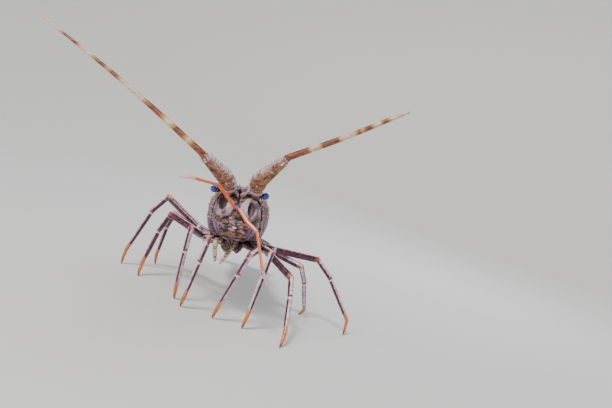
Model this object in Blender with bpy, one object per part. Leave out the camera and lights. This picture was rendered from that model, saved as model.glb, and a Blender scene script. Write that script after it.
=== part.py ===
"""A spiny lobster, life size, standing on its ten legs with its head up and its feelers spread.

Sizes are named in millimetres and become metres where a mesh is made. Two frames are used:
the body frame (x to the animal's left, y to its tail, z up, its start on the axis of the shell
at the front edge), and the standing frame, whose floor is z = 0.
"""
import random
from math import acos, atan2, cos, pi, radians, sin, sqrt

import bmesh
import bpy
from mathutils import Matrix, Vector

MM = 0.001
GAP = 0.3                       # between pieces that touch

# Stance of the body
BODY_AT = Vector((-14.0, 0.0, 136.0))
HEAD_UP = 9.0                   # degrees
LEAN = 8.0                      # degrees, towards the animal's right
TURNED = 4.0                    # degrees, head towards the animal's left

# Shell of the head and chest
SHELL_LENGTH = 140.0
SHELL_WIDTH = 81.0
SHELL_TOP = 36.5
SHELL_BELLY = 38.0              # depth of the side curve under the axis
SHELL_FLOOR = -27.0             # flat underside of the shell, where the legs pass
FRONT_DROP = 6.0                # how much lower the shell reaches before the legs
FRONT_DROP_END = 34.0
FLANK_POWER = 0.45              # fullness of the flanks at the front; the hind flanks are rounder
HIND_FLANK_POWER = 0.85
GROOVE_AT = 62.0                # the groove across the neck
GROOVE_DEPTH = 2.6
GROOVE_HALF_WIDTH = 5.0         # kept free of spines
RIM_GROOVE_AT = 131.0
MARGIN_TOP = (-5.0, 36.0)       # y and z of the front edge at the top
MARGIN_BOTTOM = (22.0, -42.0)
SPINE_ROWS = [(8, 7.0), (22, 6.4), (37, 6.4), (53, 6.0), (69, 5.4), (85, 4.8), (103, 3.8)]   # degrees, length
SPINE_PITCH = 11.0
SPINES_FROM = 11.0
SPINES_TO = 126.0
SPINE_RADIUS = 1.8
SPINE_LEAN = Vector((0, -0.85, 0.12))
HORN_ROOT = (19.0, 9.0, 27.0)
HORN_TIP = (25.0, -11.0, 50.0)
HORN_WIDTH = 6.5

# Face
FACE_WIDTH = 61.0
FACE_TOP = 25.0
FACE_BOTTOM = -38.0
FACE_FRONT = -22.0

# Eyes
EYE_AT = {"left": (33.0, -16.0, 25.0), "right": (-33.5, -12.0, 23.5)}
EYE_RADIUS = 4.4
STALK_START = (15.0, -3.5, 19.5)
STALK_ROOT = (25.0, -6.0, 24.5)
STALK_RADIUS = 2.4

# Antennae: way of the first joints, and places of the two joints and of the feeler's end in the body frame
ANTENNA = {
    "left": {"lean": (1, -20, 24), "joint": (20.6, -30, 41), "collar": (49, -48, 70), "end": (182, -95, 145)},
    "right": {"lean": (-8, -20, 24), "joint": (-19, -28, 38), "collar": (-48, -52, 58), "end": (-259, -70, 184)},
}
STALK_BASE_LENGTH = 20.0        # first joints of an antenna
STALK_WIDEST = 10.6
STALK_JOINT_RADIUS = 10.2
COLLAR_RADIUS = 5.4
BASE_SPINE_ROWS = (60, 100, 135, 170, 205)          # degrees round each joint
SHAFT_SPINE_ROWS = (95, 130, 160, 185, 210)
COLLAR_SPINES = ((30, 5.0), (130, 5.5), (198, 8.0))     # degrees and length
FEELER_BOW = {"left": -2.0, "right": 4.0}   # height of its middle over a straight line
FEELER_ROOT_RADIUS = 4.2
FEELER_STEPS = 14
FEELER_END_RADIUS = {"left": 2.4, "right": 1.2}

# Antennules: root, two bends, end of the last joint, and the ends of the two short feelers
ANTENNULE = {
    "left": [(2.7, -22, 3), (15, -34, -11), (30, -41, -22), (44, -44, -66), (54, -41, -79), (53, -46, -84)],
    "right": [(-2.7, -22, 3), (-15, -36, 17), (-25, -51, 26), (-49, -86, 26), (-67, -92, 24), (-59, -85, 30)],
}

# Outer mouth limbs
MAXILLIPED = {
    "left": [(8, 34, -36), (1, 15, -44), (-5, 14, -57), (-12, 13, -70)],
    "right": [(-8, 34, -36), (-22, 15, -40.5), (-20.5, 12, -54), (-17.5, 9, -68)],
}

# Chest plate that carries the legs
CHEST_START = 35.0
CHEST_END = 122.0
CHEST_KEEL = -42.0

# Legs, first to fifth: hip in the body frame, then the lengths of the root joints, the long
# upper joint, the knee joint, the shin and the claw
HIPS = [(15, 42, -38), (18, 58, -39), (21, 75, -39), (24, 92, -38), (26, 108, -36)]
LEG_LENGTHS = [
    (27, 50, 27, 54, 17),
    (29, 55, 28, 56, 18),
    (30, 62, 28, 53, 18),
    (31, 68, 32, 68, 22),
    (28, 55, 26, 53, 17),
]
# For each leg: forward swing and rise of its root, how far the knee leans out and forward from
# straight up, where the foot stands on the floor, and the bends of the shin and the claw (degrees)
STANCE = {
    "left": [
        (45, -14, 10, 30, (-2, -20), 4, 20),
        (35, -6, 0, -20, (38, -24), 4, 14),
        (42, -5, 20, -30, (90, -50), 4, 14),
        (-5, -4, 10, -10, (177, 98), 12, 40),
        (-18, -14, -10, 30, (108, 134), 12, 36),
    ],
    "right": [
        (40, -6, -10, 30, (-46, -14), 4, 14),
        (14, 5, 0, 0, (-60, 10), 4, 14),
        (20, 8, 0, -20, (-126, 60), 12, 14),
        (-5, 20, 20, -10, (-163, 96), 16, 16),
        (-30, 10, 10, 10, (-128, 155), 12, 14),
    ],
}
LEG_RADII = (6.0, 5.0, 4.5, 3.7, 4.1, 3.5, 3.0, 2.5, 2.2, 0.9)
LEG_SIDES = 8
HOOK_LENGTH = 6.5               # under the claw of a first leg

# Tail: length, half width, height over the axis, depth of the side lobes and drop of each ring
TAIL_RINGS = [
    (27, 35, 26, 20, 0),
    (27, 36, 26, 27, 2),
    (27, 35, 24, 27, 4),
    (27, 33, 22, 25, 6),
    (26, 31, 20, 23, 9),
    (25, 28, 17, 19, 12),
]
TAIL_START = (0.0, 140.0, -2.0)
FAN_LENGTH = 47.0
FAN_DROP = 16.0

rng = random.Random(7)
SIDES = {"left": 1, "right": -1}


def turn_of_body():
    tilt = Matrix.Rotation(radians(-LEAN), 3, "Y") @ Matrix.Rotation(radians(-HEAD_UP), 3, "X")
    return Matrix.Rotation(radians(TURNED), 3, "Z") @ tilt


TURN = turn_of_body()


def stand(point):
    """A place in the body frame, given in the standing frame."""
    return BODY_AT + TURN @ Vector(point)


# The scene and its materials

def clear_scene():
    for obj in list(bpy.data.objects):
        bpy.data.objects.remove(obj, do_unlink=True)


def collection(name):
    group = bpy.data.collections.new(name)
    bpy.context.scene.collection.children.link(group)
    return group


def finish(name, color, roughness):
    material = bpy.data.materials.new(name)
    material.use_nodes = True
    shader = material.node_tree.nodes["Principled BSDF"]
    shader.inputs["Base Color"].default_value = (*color, 1.0)
    shader.inputs["Roughness"].default_value = roughness
    shader.inputs["Metallic"].default_value = 0.0
    return material


clear_scene()
LOBSTER = collection("spiny_lobster")
BODY = bpy.data.objects.new("body_frame", None)
LOBSTER.objects.link(BODY)
BODY.matrix_world = Matrix.Translation(BODY_AT * MM) @ TURN.to_4x4()
STAND = bpy.data.objects.new("standing_frame", None)
LOBSTER.objects.link(STAND)

FINISH = {
    "shell": finish("brown_violet_shell", (0.20, 0.075, 0.06), 0.45),
    "face": finish("mottled_face", (0.33, 0.17, 0.12), 0.5),
    "eye": finish("black_eye", (0.01, 0.012, 0.02), 0.08),
    "antenna": finish("tan_lavender_antenna", (0.36, 0.19, 0.13), 0.5),
    "feeler": finish("banded_feeler", (0.35, 0.10, 0.03), 0.45),
    "antennule": finish("orange_antennule", (0.72, 0.22, 0.03), 0.4),
    "leg": finish("maroon_leg", (0.14, 0.03, 0.05), 0.4),
    "claw": finish("orange_claw", (0.55, 0.20, 0.04), 0.45),
    "belly": finish("pale_belly", (0.45, 0.30, 0.20), 0.55),
    "tail": finish("red_brown_tail", (0.24, 0.07, 0.04), 0.42),
}


def add_object(name, mesh, group, frame, material=None):
    obj = bpy.data.objects.new(name, mesh)
    group.objects.link(obj)
    obj.parent = frame
    if material:
        mesh.materials.append(FINISH[material])
    return obj


def to_mesh(name, bm):
    """Close the edit mesh, turn its faces outwards and hand it over in metres."""
    bmesh.ops.recalc_face_normals(bm, faces=bm.faces)
    if bm.calc_volume(signed=True) < 0:
        bmesh.ops.reverse_faces(bm, faces=bm.faces)
    bmesh.ops.scale(bm, vec=(MM, MM, MM), verts=bm.verts)
    mesh = bpy.data.meshes.new(name)
    bm.to_mesh(mesh)
    bm.free()
    return mesh


# Shapes

def ring(centre, normal, across, half_width, half_height, sides, power=1.0):
    """Points of an oval section; `across` is the direction of its width."""
    normal = normal.normalized()
    wide = (across - normal * across.dot(normal)).normalized()
    tall = normal.cross(wide)
    points = []
    for i in range(sides):
        a = 2 * pi * (i + 0.5) / sides
        c, s = cos(a), sin(a)
        c = abs(c) ** power * (1 if c > 0 else -1)
        s = abs(s) ** power * (1 if s > 0 else -1)
        points.append(centre + wide * half_width * c + tall * half_height * s)
    return points


def loft(sections):
    """A closed skin over sections that have the same number of points."""
    bm = bmesh.new()
    loops = [[bm.verts.new(p) for p in section] for section in sections]
    count = len(loops[0])
    for low, high in zip(loops, loops[1:]):
        for i in range(count):
            j = (i + 1) % count
            bm.faces.new((low[i], low[j], high[j], high[i]))
    bm.faces.new(loops[0][::-1])
    bm.faces.new(loops[-1])
    bmesh.ops.triangulate(bm, faces=[f for f in bm.faces if len(f.verts) == 4])
    return bm


def tube(points, radii, sides, across, first=None, last=None, flat=1.0):
    """A tapered rod through the points; `first` and `last` are the planes of its ends."""
    sections = []
    for i, (point, radius) in enumerate(zip(points, radii)):
        ahead = (points[i + 1] - point).normalized() if i + 1 < len(points) else None
        behind = (point - points[i - 1]).normalized() if i > 0 else None
        normal = (ahead or behind) + (behind or ahead)
        if i == 0 and first:
            normal = first
        if i == len(points) - 1 and last:
            normal = last
        sections.append(ring(point, normal, across, radius, radius * flat, sides))
    return loft(sections)


def cone(root, direction, length, radius, sink, sides=6):
    """A closed spine whose root lies `sink` under its starting place."""
    direction = direction.normalized()
    bm = bmesh.new()
    bmesh.ops.create_cone(bm, cap_ends=True, segments=sides, radius1=radius, radius2=0.0, depth=length + sink)
    bmesh.ops.remove_doubles(bm, verts=bm.verts, dist=0.001)
    middle = root + direction * (length - sink) / 2
    place = Matrix.Translation(middle) @ direction.to_track_quat("Z", "Y").to_matrix().to_4x4()
    bmesh.ops.transform(bm, matrix=place, verts=bm.verts)
    return bm


def rod(start, end, radius, sides=12):
    """A plain closed cylinder between two places."""
    bm = bmesh.new()
    length = (end - start).length
    bmesh.ops.create_cone(bm, cap_ends=True, segments=sides, radius1=radius, radius2=radius, depth=length)
    turn = (end - start).to_track_quat("Z", "Y").to_matrix().to_4x4()
    bmesh.ops.transform(bm, matrix=Matrix.Translation((start + end) / 2) @ turn, verts=bm.verts)
    return bm


def cut_flat(bm, place, outward):
    """Cut away what lies past a plane and close the cut."""
    geometry = bm.verts[:] + bm.edges[:] + bm.faces[:]
    bmesh.ops.bisect_plane(bm, geom=geometry, dist=1e-5, plane_co=place, plane_no=outward, clear_outer=True)
    rim = [e for e in bm.edges if e.is_boundary]
    bmesh.ops.holes_fill(bm, edges=rim, sides=0)


def keep_largest(mesh):
    """Drop all but the largest closed surface."""
    bm = bmesh.new()
    bm.from_mesh(mesh)
    left = set(bm.faces)
    shells = []
    while left:
        stack = [left.pop()]
        shell = set(stack)
        while stack:
            face = stack.pop()
            for edge in face.edges:
                for other in edge.link_faces:
                    if other in left:
                        left.discard(other)
                        shell.add(other)
                        stack.append(other)
        shells.append(shell)
    shells.sort(key=lambda s: -sum(f.calc_area() for f in s))
    for shell in shells[1:]:
        bmesh.ops.delete(bm, geom=list(shell), context="FACES")
    bm.to_mesh(mesh)
    bm.free()


def join(obj, pieces, solver="MANIFOLD"):
    """Fuse closed pieces into an object with one union."""
    group = collection(obj.name + "_pieces")
    for i, piece in enumerate(pieces):
        bmesh.ops.triangulate(piece, faces=piece.faces)
        add_object(f"{obj.name}_piece_{i}", to_mesh("piece", piece), group, obj.parent)
    union = obj.modifiers.new("union", "BOOLEAN")
    union.operation = "UNION"
    union.operand_type = "COLLECTION"
    union.collection = group
    union.solver = solver
    bpy.context.view_layer.update()
    graph = bpy.context.evaluated_depsgraph_get()
    joined = bpy.data.meshes.new_from_object(obj.evaluated_get(graph))
    obj.modifiers.remove(union)
    obj.data = joined
    for piece in list(group.objects):
        bpy.data.objects.remove(piece, do_unlink=True)
    bpy.data.collections.remove(group)
    keep_largest(obj.data)
    return obj


def body_part(name, bm, material):
    return add_object(name, to_mesh(name, bm), LOBSTER, BODY, material)


def standing_part(name, bm, material):
    return add_object(name, to_mesh(name, bm), LOBSTER, STAND, material)


# Shell of the head and chest

def smooth_step(t):
    t = min(max(t, 0.0), 1.0)
    return t * t * (3 - 2 * t)


def shell_size(y):
    """Half width and height of the shell at a distance from its front edge."""
    front = smooth_step((y + 30) / 75)
    back = 1 - 0.17 * smooth_step((y - 95) / 50)
    width = SHELL_WIDTH / 2 * (0.62 + 0.38 * front) * back
    top = SHELL_TOP * (0.72 + 0.28 * front) * (1 - 0.24 * smooth_step((y - 85) / 60))
    return width, top


def dip(y, place, half_length):
    """A smooth groove profile, 1 at its bottom and 0 outside it."""
    t = abs(y - place) / half_length
    return cos(t * pi / 2) ** 2 if t < 1 else 0.0


def shell_point(y, angle):
    """A place on the shell; the angle is 0 on the back and 90 degrees at the side."""
    width, top = shell_size(y)
    s, c = sin(angle), cos(angle)
    groove = GROOVE_DEPTH * dip(y, GROOVE_AT, 7) * (1.0 if abs(s) < 0.95 or c > 0 else 0.4)
    rim = 1.6 * dip(y, RIM_GROOVE_AT, 4) * (1 if c > -0.2 else 0)
    inset = groove + rim
    power = 0.85
    if c > 0:
        z = (top - inset) * c ** 0.92
    else:
        power = FLANK_POWER + (HIND_FLANK_POWER - FLANK_POWER) * smooth_step((y - 55) / 35)
        z = -SHELL_BELLY * abs(c) ** 0.9
    x = (width - inset) * abs(s) ** power * (1 if s > 0 else -1)
    z = max(z, SHELL_FLOOR - FRONT_DROP * smooth_step((FRONT_DROP_END - y) / 14))
    forward = 16 * smooth_step((y - 14) / 40) * smooth_step((125 - y) / 45)
    return Vector((x, y - forward * (1 - cos(angle)) / 2, z))


def shell_normal(y, angle):
    along = shell_point(y + 1, angle) - shell_point(y - 1, angle)
    round_ = shell_point(y, angle + 0.02) - shell_point(y, angle - 0.02)
    return round_.cross(along).normalized()


def margin_plane(offset):
    """Place and outward direction of the slanted front edge."""
    top = Vector((0, *MARGIN_TOP))
    down = Vector((0, *MARGIN_BOTTOM)) - top
    outward = Vector((0, down.z, -down.y)).normalized()
    return top + outward * offset, outward


def shell_spines():
    """Rows of spines that point forward, longest on the front of the back."""
    spines = []
    for row, (degrees, longest) in enumerate(SPINE_ROWS):
        for side in (1, -1):
            y = SPINES_FROM + SPINE_PITCH / 2 * (row % 2)
            while y < SPINES_TO:
                angle = radians(degrees + rng.uniform(-3, 3)) * side
                fade = 1 - 0.5 * y / SHELL_LENGTH
                if abs(y - GROOVE_AT) > GROOVE_HALF_WIDTH:
                    direction = shell_normal(y, angle) + SPINE_LEAN
                    length = longest * fade * rng.uniform(0.85, 1.15)
                    spines.append(cone(shell_point(y, angle), direction, length, SPINE_RADIUS * fade + 0.2, 1.6, 5))
                y += SPINE_PITCH + rng.uniform(-1.5, 1.5)
    return spines


def margin_spines():
    spines = []
    for degrees, length in ((4, 4.5), (-4, 4.5), (62, 7), (-62, 7), (88, 5.5), (-88, 5.5)):
        angle = radians(degrees)
        root = shell_point(7, angle)
        out = shell_normal(7, angle)
        spines.append(cone(root, out + Vector((0, -0.8, 0)), length, 2.0, 2.2))
    return spines


def horns():
    """The two large flattened horns over the eyes, each bent up towards its tip."""
    pieces = []
    for side in (1, -1):
        root = Vector((HORN_ROOT[0] * side, *HORN_ROOT[1:]))
        tip = Vector((HORN_TIP[0] * side, *HORN_TIP[1:]))
        points, radii = [], []
        for i in range(6):
            t = i / 5
            bend = Vector((0, -5.0, -1.0)) * sin(pi * t)
            points.append(root.lerp(tip, t) + bend)
            radii.append(HORN_WIDTH * (1 - t) ** 0.8 + 0.35)
        pieces.append(tube(points, radii, 8, Vector((0, 1, 0)), flat=0.55))
        for t, length in ((0.35, 4.0), (0.55, 3.4), (0.72, 2.6)):
            at = root.lerp(tip, t) + Vector((0, -5.0, -1.0)) * sin(pi * t)
            pieces.append(cone(at, Vector((-0.3 * side, -1.0, 0.35)), length + 2.5, 1.3, 1.5, sides=5))
    return pieces


def carapace():
    angles = [2 * pi * i / 32 for i in range(32)]
    stations = [-14, -6, 2, 10, 20, 31, 42, 50, 55, 59, 62, 65, 69, 75, 84, 95, 106, 117, 126, 129, 131, 133, 136,
                SHELL_LENGTH]
    sections = [[shell_point(y, a) for a in angles] for y in stations]
    bm = loft(sections)
    place, outward = margin_plane(0)
    cut_flat(bm, place, outward)
    obj = body_part("carapace", bm, "shell")
    return join(obj, horns() + shell_spines() + margin_spines())


# Face, eyes and mouth

def face_section(y, width, top, bottom, sides=28):
    points = []
    middle = (top + bottom) / 2
    for i in range(sides):
        a = 2 * pi * i / sides
        s, c = sin(a), cos(a)
        x = width * abs(s) ** 0.8 * (1 if s > 0 else -1)
        z = middle + (top - bottom) / 2 * abs(c) ** 0.9 * (1 if c > 0 else -1)
        points.append(Vector((x, y, z)))
    return points


def antenna_line(side):
    joint = Vector(ANTENNA[side]["joint"])
    lean = Vector(ANTENNA[side]["lean"]).normalized()
    return joint - lean * STALK_BASE_LENGTH, joint, lean


def face():
    half = FACE_WIDTH / 2
    profile = [
        (30, 1.0, 1.0, 1.0), (14, 1.0, 1.0, 1.0), (4, 0.98, 1.0, 1.0), (-4, 0.92, 0.9, 0.97), (-10, 0.83, 0.72, 0.91),
        (-15, 0.68, 0.5, 0.82), (-19, 0.48, 0.32, 0.68), (FACE_FRONT, 0.2, 0.16, 0.45),
    ]
    sections = [face_section(y, half * w, FACE_TOP * t, FACE_BOTTOM * b) for y, w, t, b in profile]
    obj = body_part("face", loft(sections), "face")
    pieces = []
    for name, side in SIDES.items():
        root, _, lean = antenna_line(name)
        pieces.append(tube([root - lean * 14, root - lean * 5, root], [5.0, 6.6, 7.6], 14, Vector((1, 0, 0))))
        eye = Vector((STALK_ROOT[0] * side, *STALK_ROOT[1:]))
        inner = Vector((STALK_START[0] * side, *STALK_START[1:]))
        pieces.append(rod(inner, eye, STALK_RADIUS + 0.5, 10))
        start = Vector(ANTENNULE[name][0])
        pieces.append(rod(start + Vector((0, 8, 0)), start, 2.5, 8))
        for x, z, length in ((27, 9, 4.5), (29, -4, 4.0), (27, -16, 3.5)):
            pieces.append(cone(Vector((x * side, -7, z)), Vector((0.8 * side, -1, 0.2)), length, 1.8, 2.5))
    pieces.append(rod(Vector((0, 2, -30)), Vector((0, -1, -38.8)), 10, 14))
    join(obj, pieces)
    bm = bmesh.new()
    bm.from_mesh(obj.data)
    bmesh.ops.scale(bm, vec=(1 / MM, 1 / MM, 1 / MM), verts=bm.verts)
    place, outward = margin_plane(GAP)
    cut_flat(bm, place, -outward)
    mesh = to_mesh("face", bm)
    mesh.materials.append(FINISH["face"])
    obj.data = mesh
    return obj


def eye(name, side):
    root = Vector((STALK_ROOT[0] * side, *STALK_ROOT[1:]))
    start = Vector((STALK_START[0] * side, *STALK_START[1:]))
    along = (root - start).normalized()
    ball = Vector(EYE_AT[name])
    first = root + along * GAP
    points = [first, first + along * 3, ball.lerp(first, 0.35)]
    obj = body_part(f"eye_{name}", tube(points, [2.8, 2.4, 2.6], 10, Vector((0, 0, 1))), "eye")
    globe = bmesh.new()
    bmesh.ops.create_uvsphere(globe, u_segments=12, v_segments=8, radius=EYE_RADIUS)
    bmesh.ops.transform(globe, matrix=Matrix.Translation(ball), verts=globe.verts)
    return join(obj, [globe])


def mandibles():
    start = Vector((0, -1, -38.8)) + (Vector((0, -3, -8.8))).normalized() * GAP
    along = Vector((0, -3, -8.8)).normalized()
    points = [start, start + along * 2.5, start + along * 5]
    return body_part("mandibles", tube(points, [9.2, 8.4, 5.0], 12, Vector((1, 0, 0)), flat=0.55), "belly")


def maxilliped(name, side):
    points = [Vector(p) for p in MAXILLIPED[name]]
    toward = (points[1] - points[0]).normalized()
    points[0] = Vector((points[0].x, CHEST_START - GAP, points[0].z))
    knee = points[1]
    path = [points[0], points[0] + toward * 4, knee - toward * 3]
    down = (points[2] - knee).normalized()
    path += [knee + down * 2.5, points[2], points[2].lerp(points[3], 0.55), points[3]]
    radii = [3.6, 3.9, 3.6, 3.3, 2.8, 2.2, 0.8]
    back = Vector((0, -1, 0))
    return body_part(f"maxilliped_{name}", tube(path, radii, 8, Vector((1, 0, 0.3)), first=back), "belly")


# Antennae and antennules

def antenna_base(name, side):
    root, joint, lean = antenna_line(name)
    start = root + lean * GAP
    collar = Vector(ANTENNA[name]["collar"])
    onward = (collar - joint).normalized()
    meet = (lean + onward).normalized()
    points = [start, start + lean * 4, start + lean * 7.2, start + lean * 10.4, joint - lean * 4,
              joint - meet * GAP / 2]
    radii = [7.3, 8.3, 7.5, 9.0, STALK_WIDEST, STALK_JOINT_RADIUS]
    across = Vector((1, 0, 0))
    obj = body_part(f"antenna_base_{name}", tube(points, radii, 14, across, last=meet), "antenna")
    pieces = []
    for around in BASE_SPINE_ROWS:
        for t, length in ((0.4, 3.6), (0.8, 5.6)):
            pieces.append(stalk_spine(start, joint, 9.6, around, t, length * rng.uniform(0.8, 1.2), side))
    return join(obj, pieces)


def stalk_spine(start, end, radius, around, t, length, side, width=1.5):
    """A spine on a round joint; `around` runs in degrees from its outer side over its back edge."""
    along = (end - start).normalized()
    out = (Vector((side, 0, 0)) - along * along.x * side).normalized()
    up = out.cross(along) * side
    a = radians(around)
    normal = out * cos(a) + up * sin(a)
    root = start.lerp(end, t) + normal * (radius - 0.6)
    return cone(root, normal + along * 0.8, length, width, 2.2, 5)


def antenna_shaft(name, side):
    _, joint, lean = antenna_line(name)
    collar = Vector(ANTENNA[name]["collar"])
    onward = (collar - joint).normalized()
    meet = (lean + onward).normalized()
    length = (collar - joint).length
    points = [joint + meet * GAP / 2, joint + onward * 5.5]
    radii = [STALK_JOINT_RADIUS, STALK_JOINT_RADIUS]
    for t, radius in ((0.3, 9.4), (0.5, 8.4), (0.7, 7.2), (0.86, 6.4), (0.93, 5.6), (1.0, COLLAR_RADIUS)):
        points.append(joint + onward * length * t)
        radii.append(radius)
    obj = body_part(f"antenna_shaft_{name}", tube(points, radii, 14, Vector((1, 0, 0)), first=meet), "antenna")
    pieces = []
    for around in SHAFT_SPINE_ROWS:
        for t in (0.2, 0.35, 0.5, 0.65, 0.8):
            radius = STALK_JOINT_RADIUS - (STALK_JOINT_RADIUS - COLLAR_RADIUS) * t
            size = 4.4 * rng.uniform(0.8, 1.2)
            pieces.append(stalk_spine(joint, collar, radius, around + rng.uniform(-6, 6), t, size, side))
    for around, size in COLLAR_SPINES:
        pieces.append(stalk_spine(joint, collar, COLLAR_RADIUS + 1, around, 0.88, size, side, 1.9))
    return join(obj, pieces)


def feeler(name, side):
    """The long whip of an antenna, a tapered rod with a slight bow."""
    joint = Vector(ANTENNA[name]["joint"])
    collar = Vector(ANTENNA[name]["collar"])
    end = Vector(ANTENNA[name]["end"])
    onward = (collar - joint).normalized()
    start = collar + onward * GAP
    points, radii = [start, start + onward * 3, start + onward * 6], [4.9, 4.9, 4.3]
    bend_from = start + onward * 6
    for i in range(1, FEELER_STEPS + 1):
        t = i / FEELER_STEPS
        arc = Vector((0, 0, FEELER_BOW[name])) * sin(pi * t)
        points.append(bend_from.lerp(end, t) + arc)
        radii.append(FEELER_ROOT_RADIUS + (FEELER_END_RADIUS[name] - FEELER_ROOT_RADIUS) * t)
    return body_part(f"feeler_{name}", tube(points, radii, 8, Vector((0, 1, 0)), first=onward), "feeler")


def antennule_base(name, side):
    points = [Vector(p) for p in ANTENNULE[name][:3]]
    tip_way = (Vector(ANTENNULE[name][3]) - points[2]).normalized()
    back = Vector((0, -1, 0))
    first_way = (points[1] - points[0]).normalized()
    second_way = (points[2] - points[1]).normalized()
    meet = (second_way + tip_way).normalized()
    start = points[0] + back * GAP
    path = [start, start + back * 1.5 + first_way * 2, points[1] - first_way * 3, points[1],
            points[1] + second_way * 3, points[2] - second_way * 4, points[2] - meet * GAP / 2]
    radii = [2.1, 2.1, 2.2, 2.7, 2.1, 2.1, 2.4]
    bm = tube(path, radii, 8, Vector((0.2, 0.5, 1)), first=back, last=meet)
    return body_part(f"antennule_base_{name}", bm, "antennule")


def antennule_tip(name, side):
    points = [Vector(p) for p in ANTENNULE[name]]
    second_way = (points[2] - points[1]).normalized()
    way = (points[3] - points[2]).normalized()
    meet = (second_way + way).normalized()
    path = [points[2] + meet * GAP / 2, points[2] + way * 4, points[2].lerp(points[3], 0.6), points[3]]
    across = Vector((0.2, 0.5, 1))
    obj = body_part(f"antennule_tip_{name}", tube(path, [2.4, 1.9, 1.7, 2.0], 8, across, first=meet), "antennule")
    forks = []
    for end in points[4:]:
        start = points[3] - way * 2
        middle = start.lerp(end, 0.5) + way * 1.2
        forks.append(tube([start, middle, end], [1.5, 1.2, 0.5], 6, across))
    return join(obj, forks)


# Chest plate and legs

def root_way(side, leg):
    """Direction of a leg's root in the body frame."""
    swing, rise = (radians(v) for v in STANCE[side][leg][:2])
    return Vector((SIDES[side] * cos(swing) * cos(rise), -sin(swing) * cos(rise), sin(rise)))


def hip(side, leg):
    x, y, z = HIPS[leg]
    return Vector((x * SIDES[side], y, z))


def chest():
    sections = []
    stations = [(CHEST_START, 8, 6), (50, 11, 8), (66, 14, 11), (83, 17, 13), (100, 20, 15), (112, 21, 15),
                (CHEST_END, 18, 12)]
    for y, upper, lower in stations:
        top, keel = SHELL_FLOOR - GAP, CHEST_KEEL
        outline = [(-upper, top), (-upper - 1, -34), (-lower, keel), (0, keel + 1.5), (lower, keel),
                   (upper + 1, -34), (upper, top)]
        sections.append([Vector((x, y, z)) for x, z in outline])
    obj = body_part("chest", loft(sections), "belly")
    sockets = []
    for side in SIDES:
        for leg in range(5):
            at, way = hip(side, leg), root_way(side, leg)
            sockets.append(rod(at - way * 9, at, 6.3, 10))
    return join(obj, sockets)


def bend_point(a, b, upper, lower, pole):
    """The knee of two straight lengths from a to b, on the side that the pole points to."""
    span = b - a
    reach = min(span.length, (upper + lower) * 0.999)
    way = span.normalized()
    along = (upper * upper - lower * lower + reach * reach) / (2 * reach)
    off = sqrt(max(upper * upper - along * along, 0))
    side_way = (pole - way * pole.dot(way)).normalized()
    return a + way * along + side_way * off


def leg_points(side, leg):
    """Hip, end of the root joints, knee, end of the knee joint, end of the shin, foot."""
    root, upper, knee_joint, shin, claw = LEG_LENGTHS[leg]
    _, _, out, forward, foot, shin_bend, claw_bend = STANCE[side][leg]
    out, forward = radians(out), radians(forward)
    start = stand(hip(side, leg))
    base = start + TURN @ root_way(side, leg) * root
    foot = Vector((*foot, 0))
    pole = Vector((SIDES[side] * sin(out), -sin(forward), cos(out) * cos(forward)))
    flat, angle = [Vector((0, 0))], 0
    for length, bend in ((knee_joint, shin_bend), (shin, claw_bend), (claw, 0)):
        flat.append(flat[-1] + Vector((cos(angle), sin(angle))) * length)
        angle += radians(bend)
    chord, slope = flat[-1].length, atan2(flat[-1].y, flat[-1].x)
    knee = bend_point(base, foot, upper, chord, pole)
    down = (foot - knee).normalized()
    inward = base - knee
    inward = (inward - down * inward.dot(down)).normalized()
    points = [start, base]
    for p in flat:
        x = p.x * cos(slope) + p.y * sin(slope)
        y = p.y * cos(slope) - p.x * sin(slope)
        points.append(knee + down * x + inward * y)
    points[-1] = foot
    return points


def leg_planes(points):
    """The plane in which each joint of a leg meets the next."""
    ways = [(b - a).normalized() for a, b in zip(points, points[1:])]
    meets = [(a + b).normalized() for a, b in zip(ways, ways[1:])]
    return ways, meets


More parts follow.
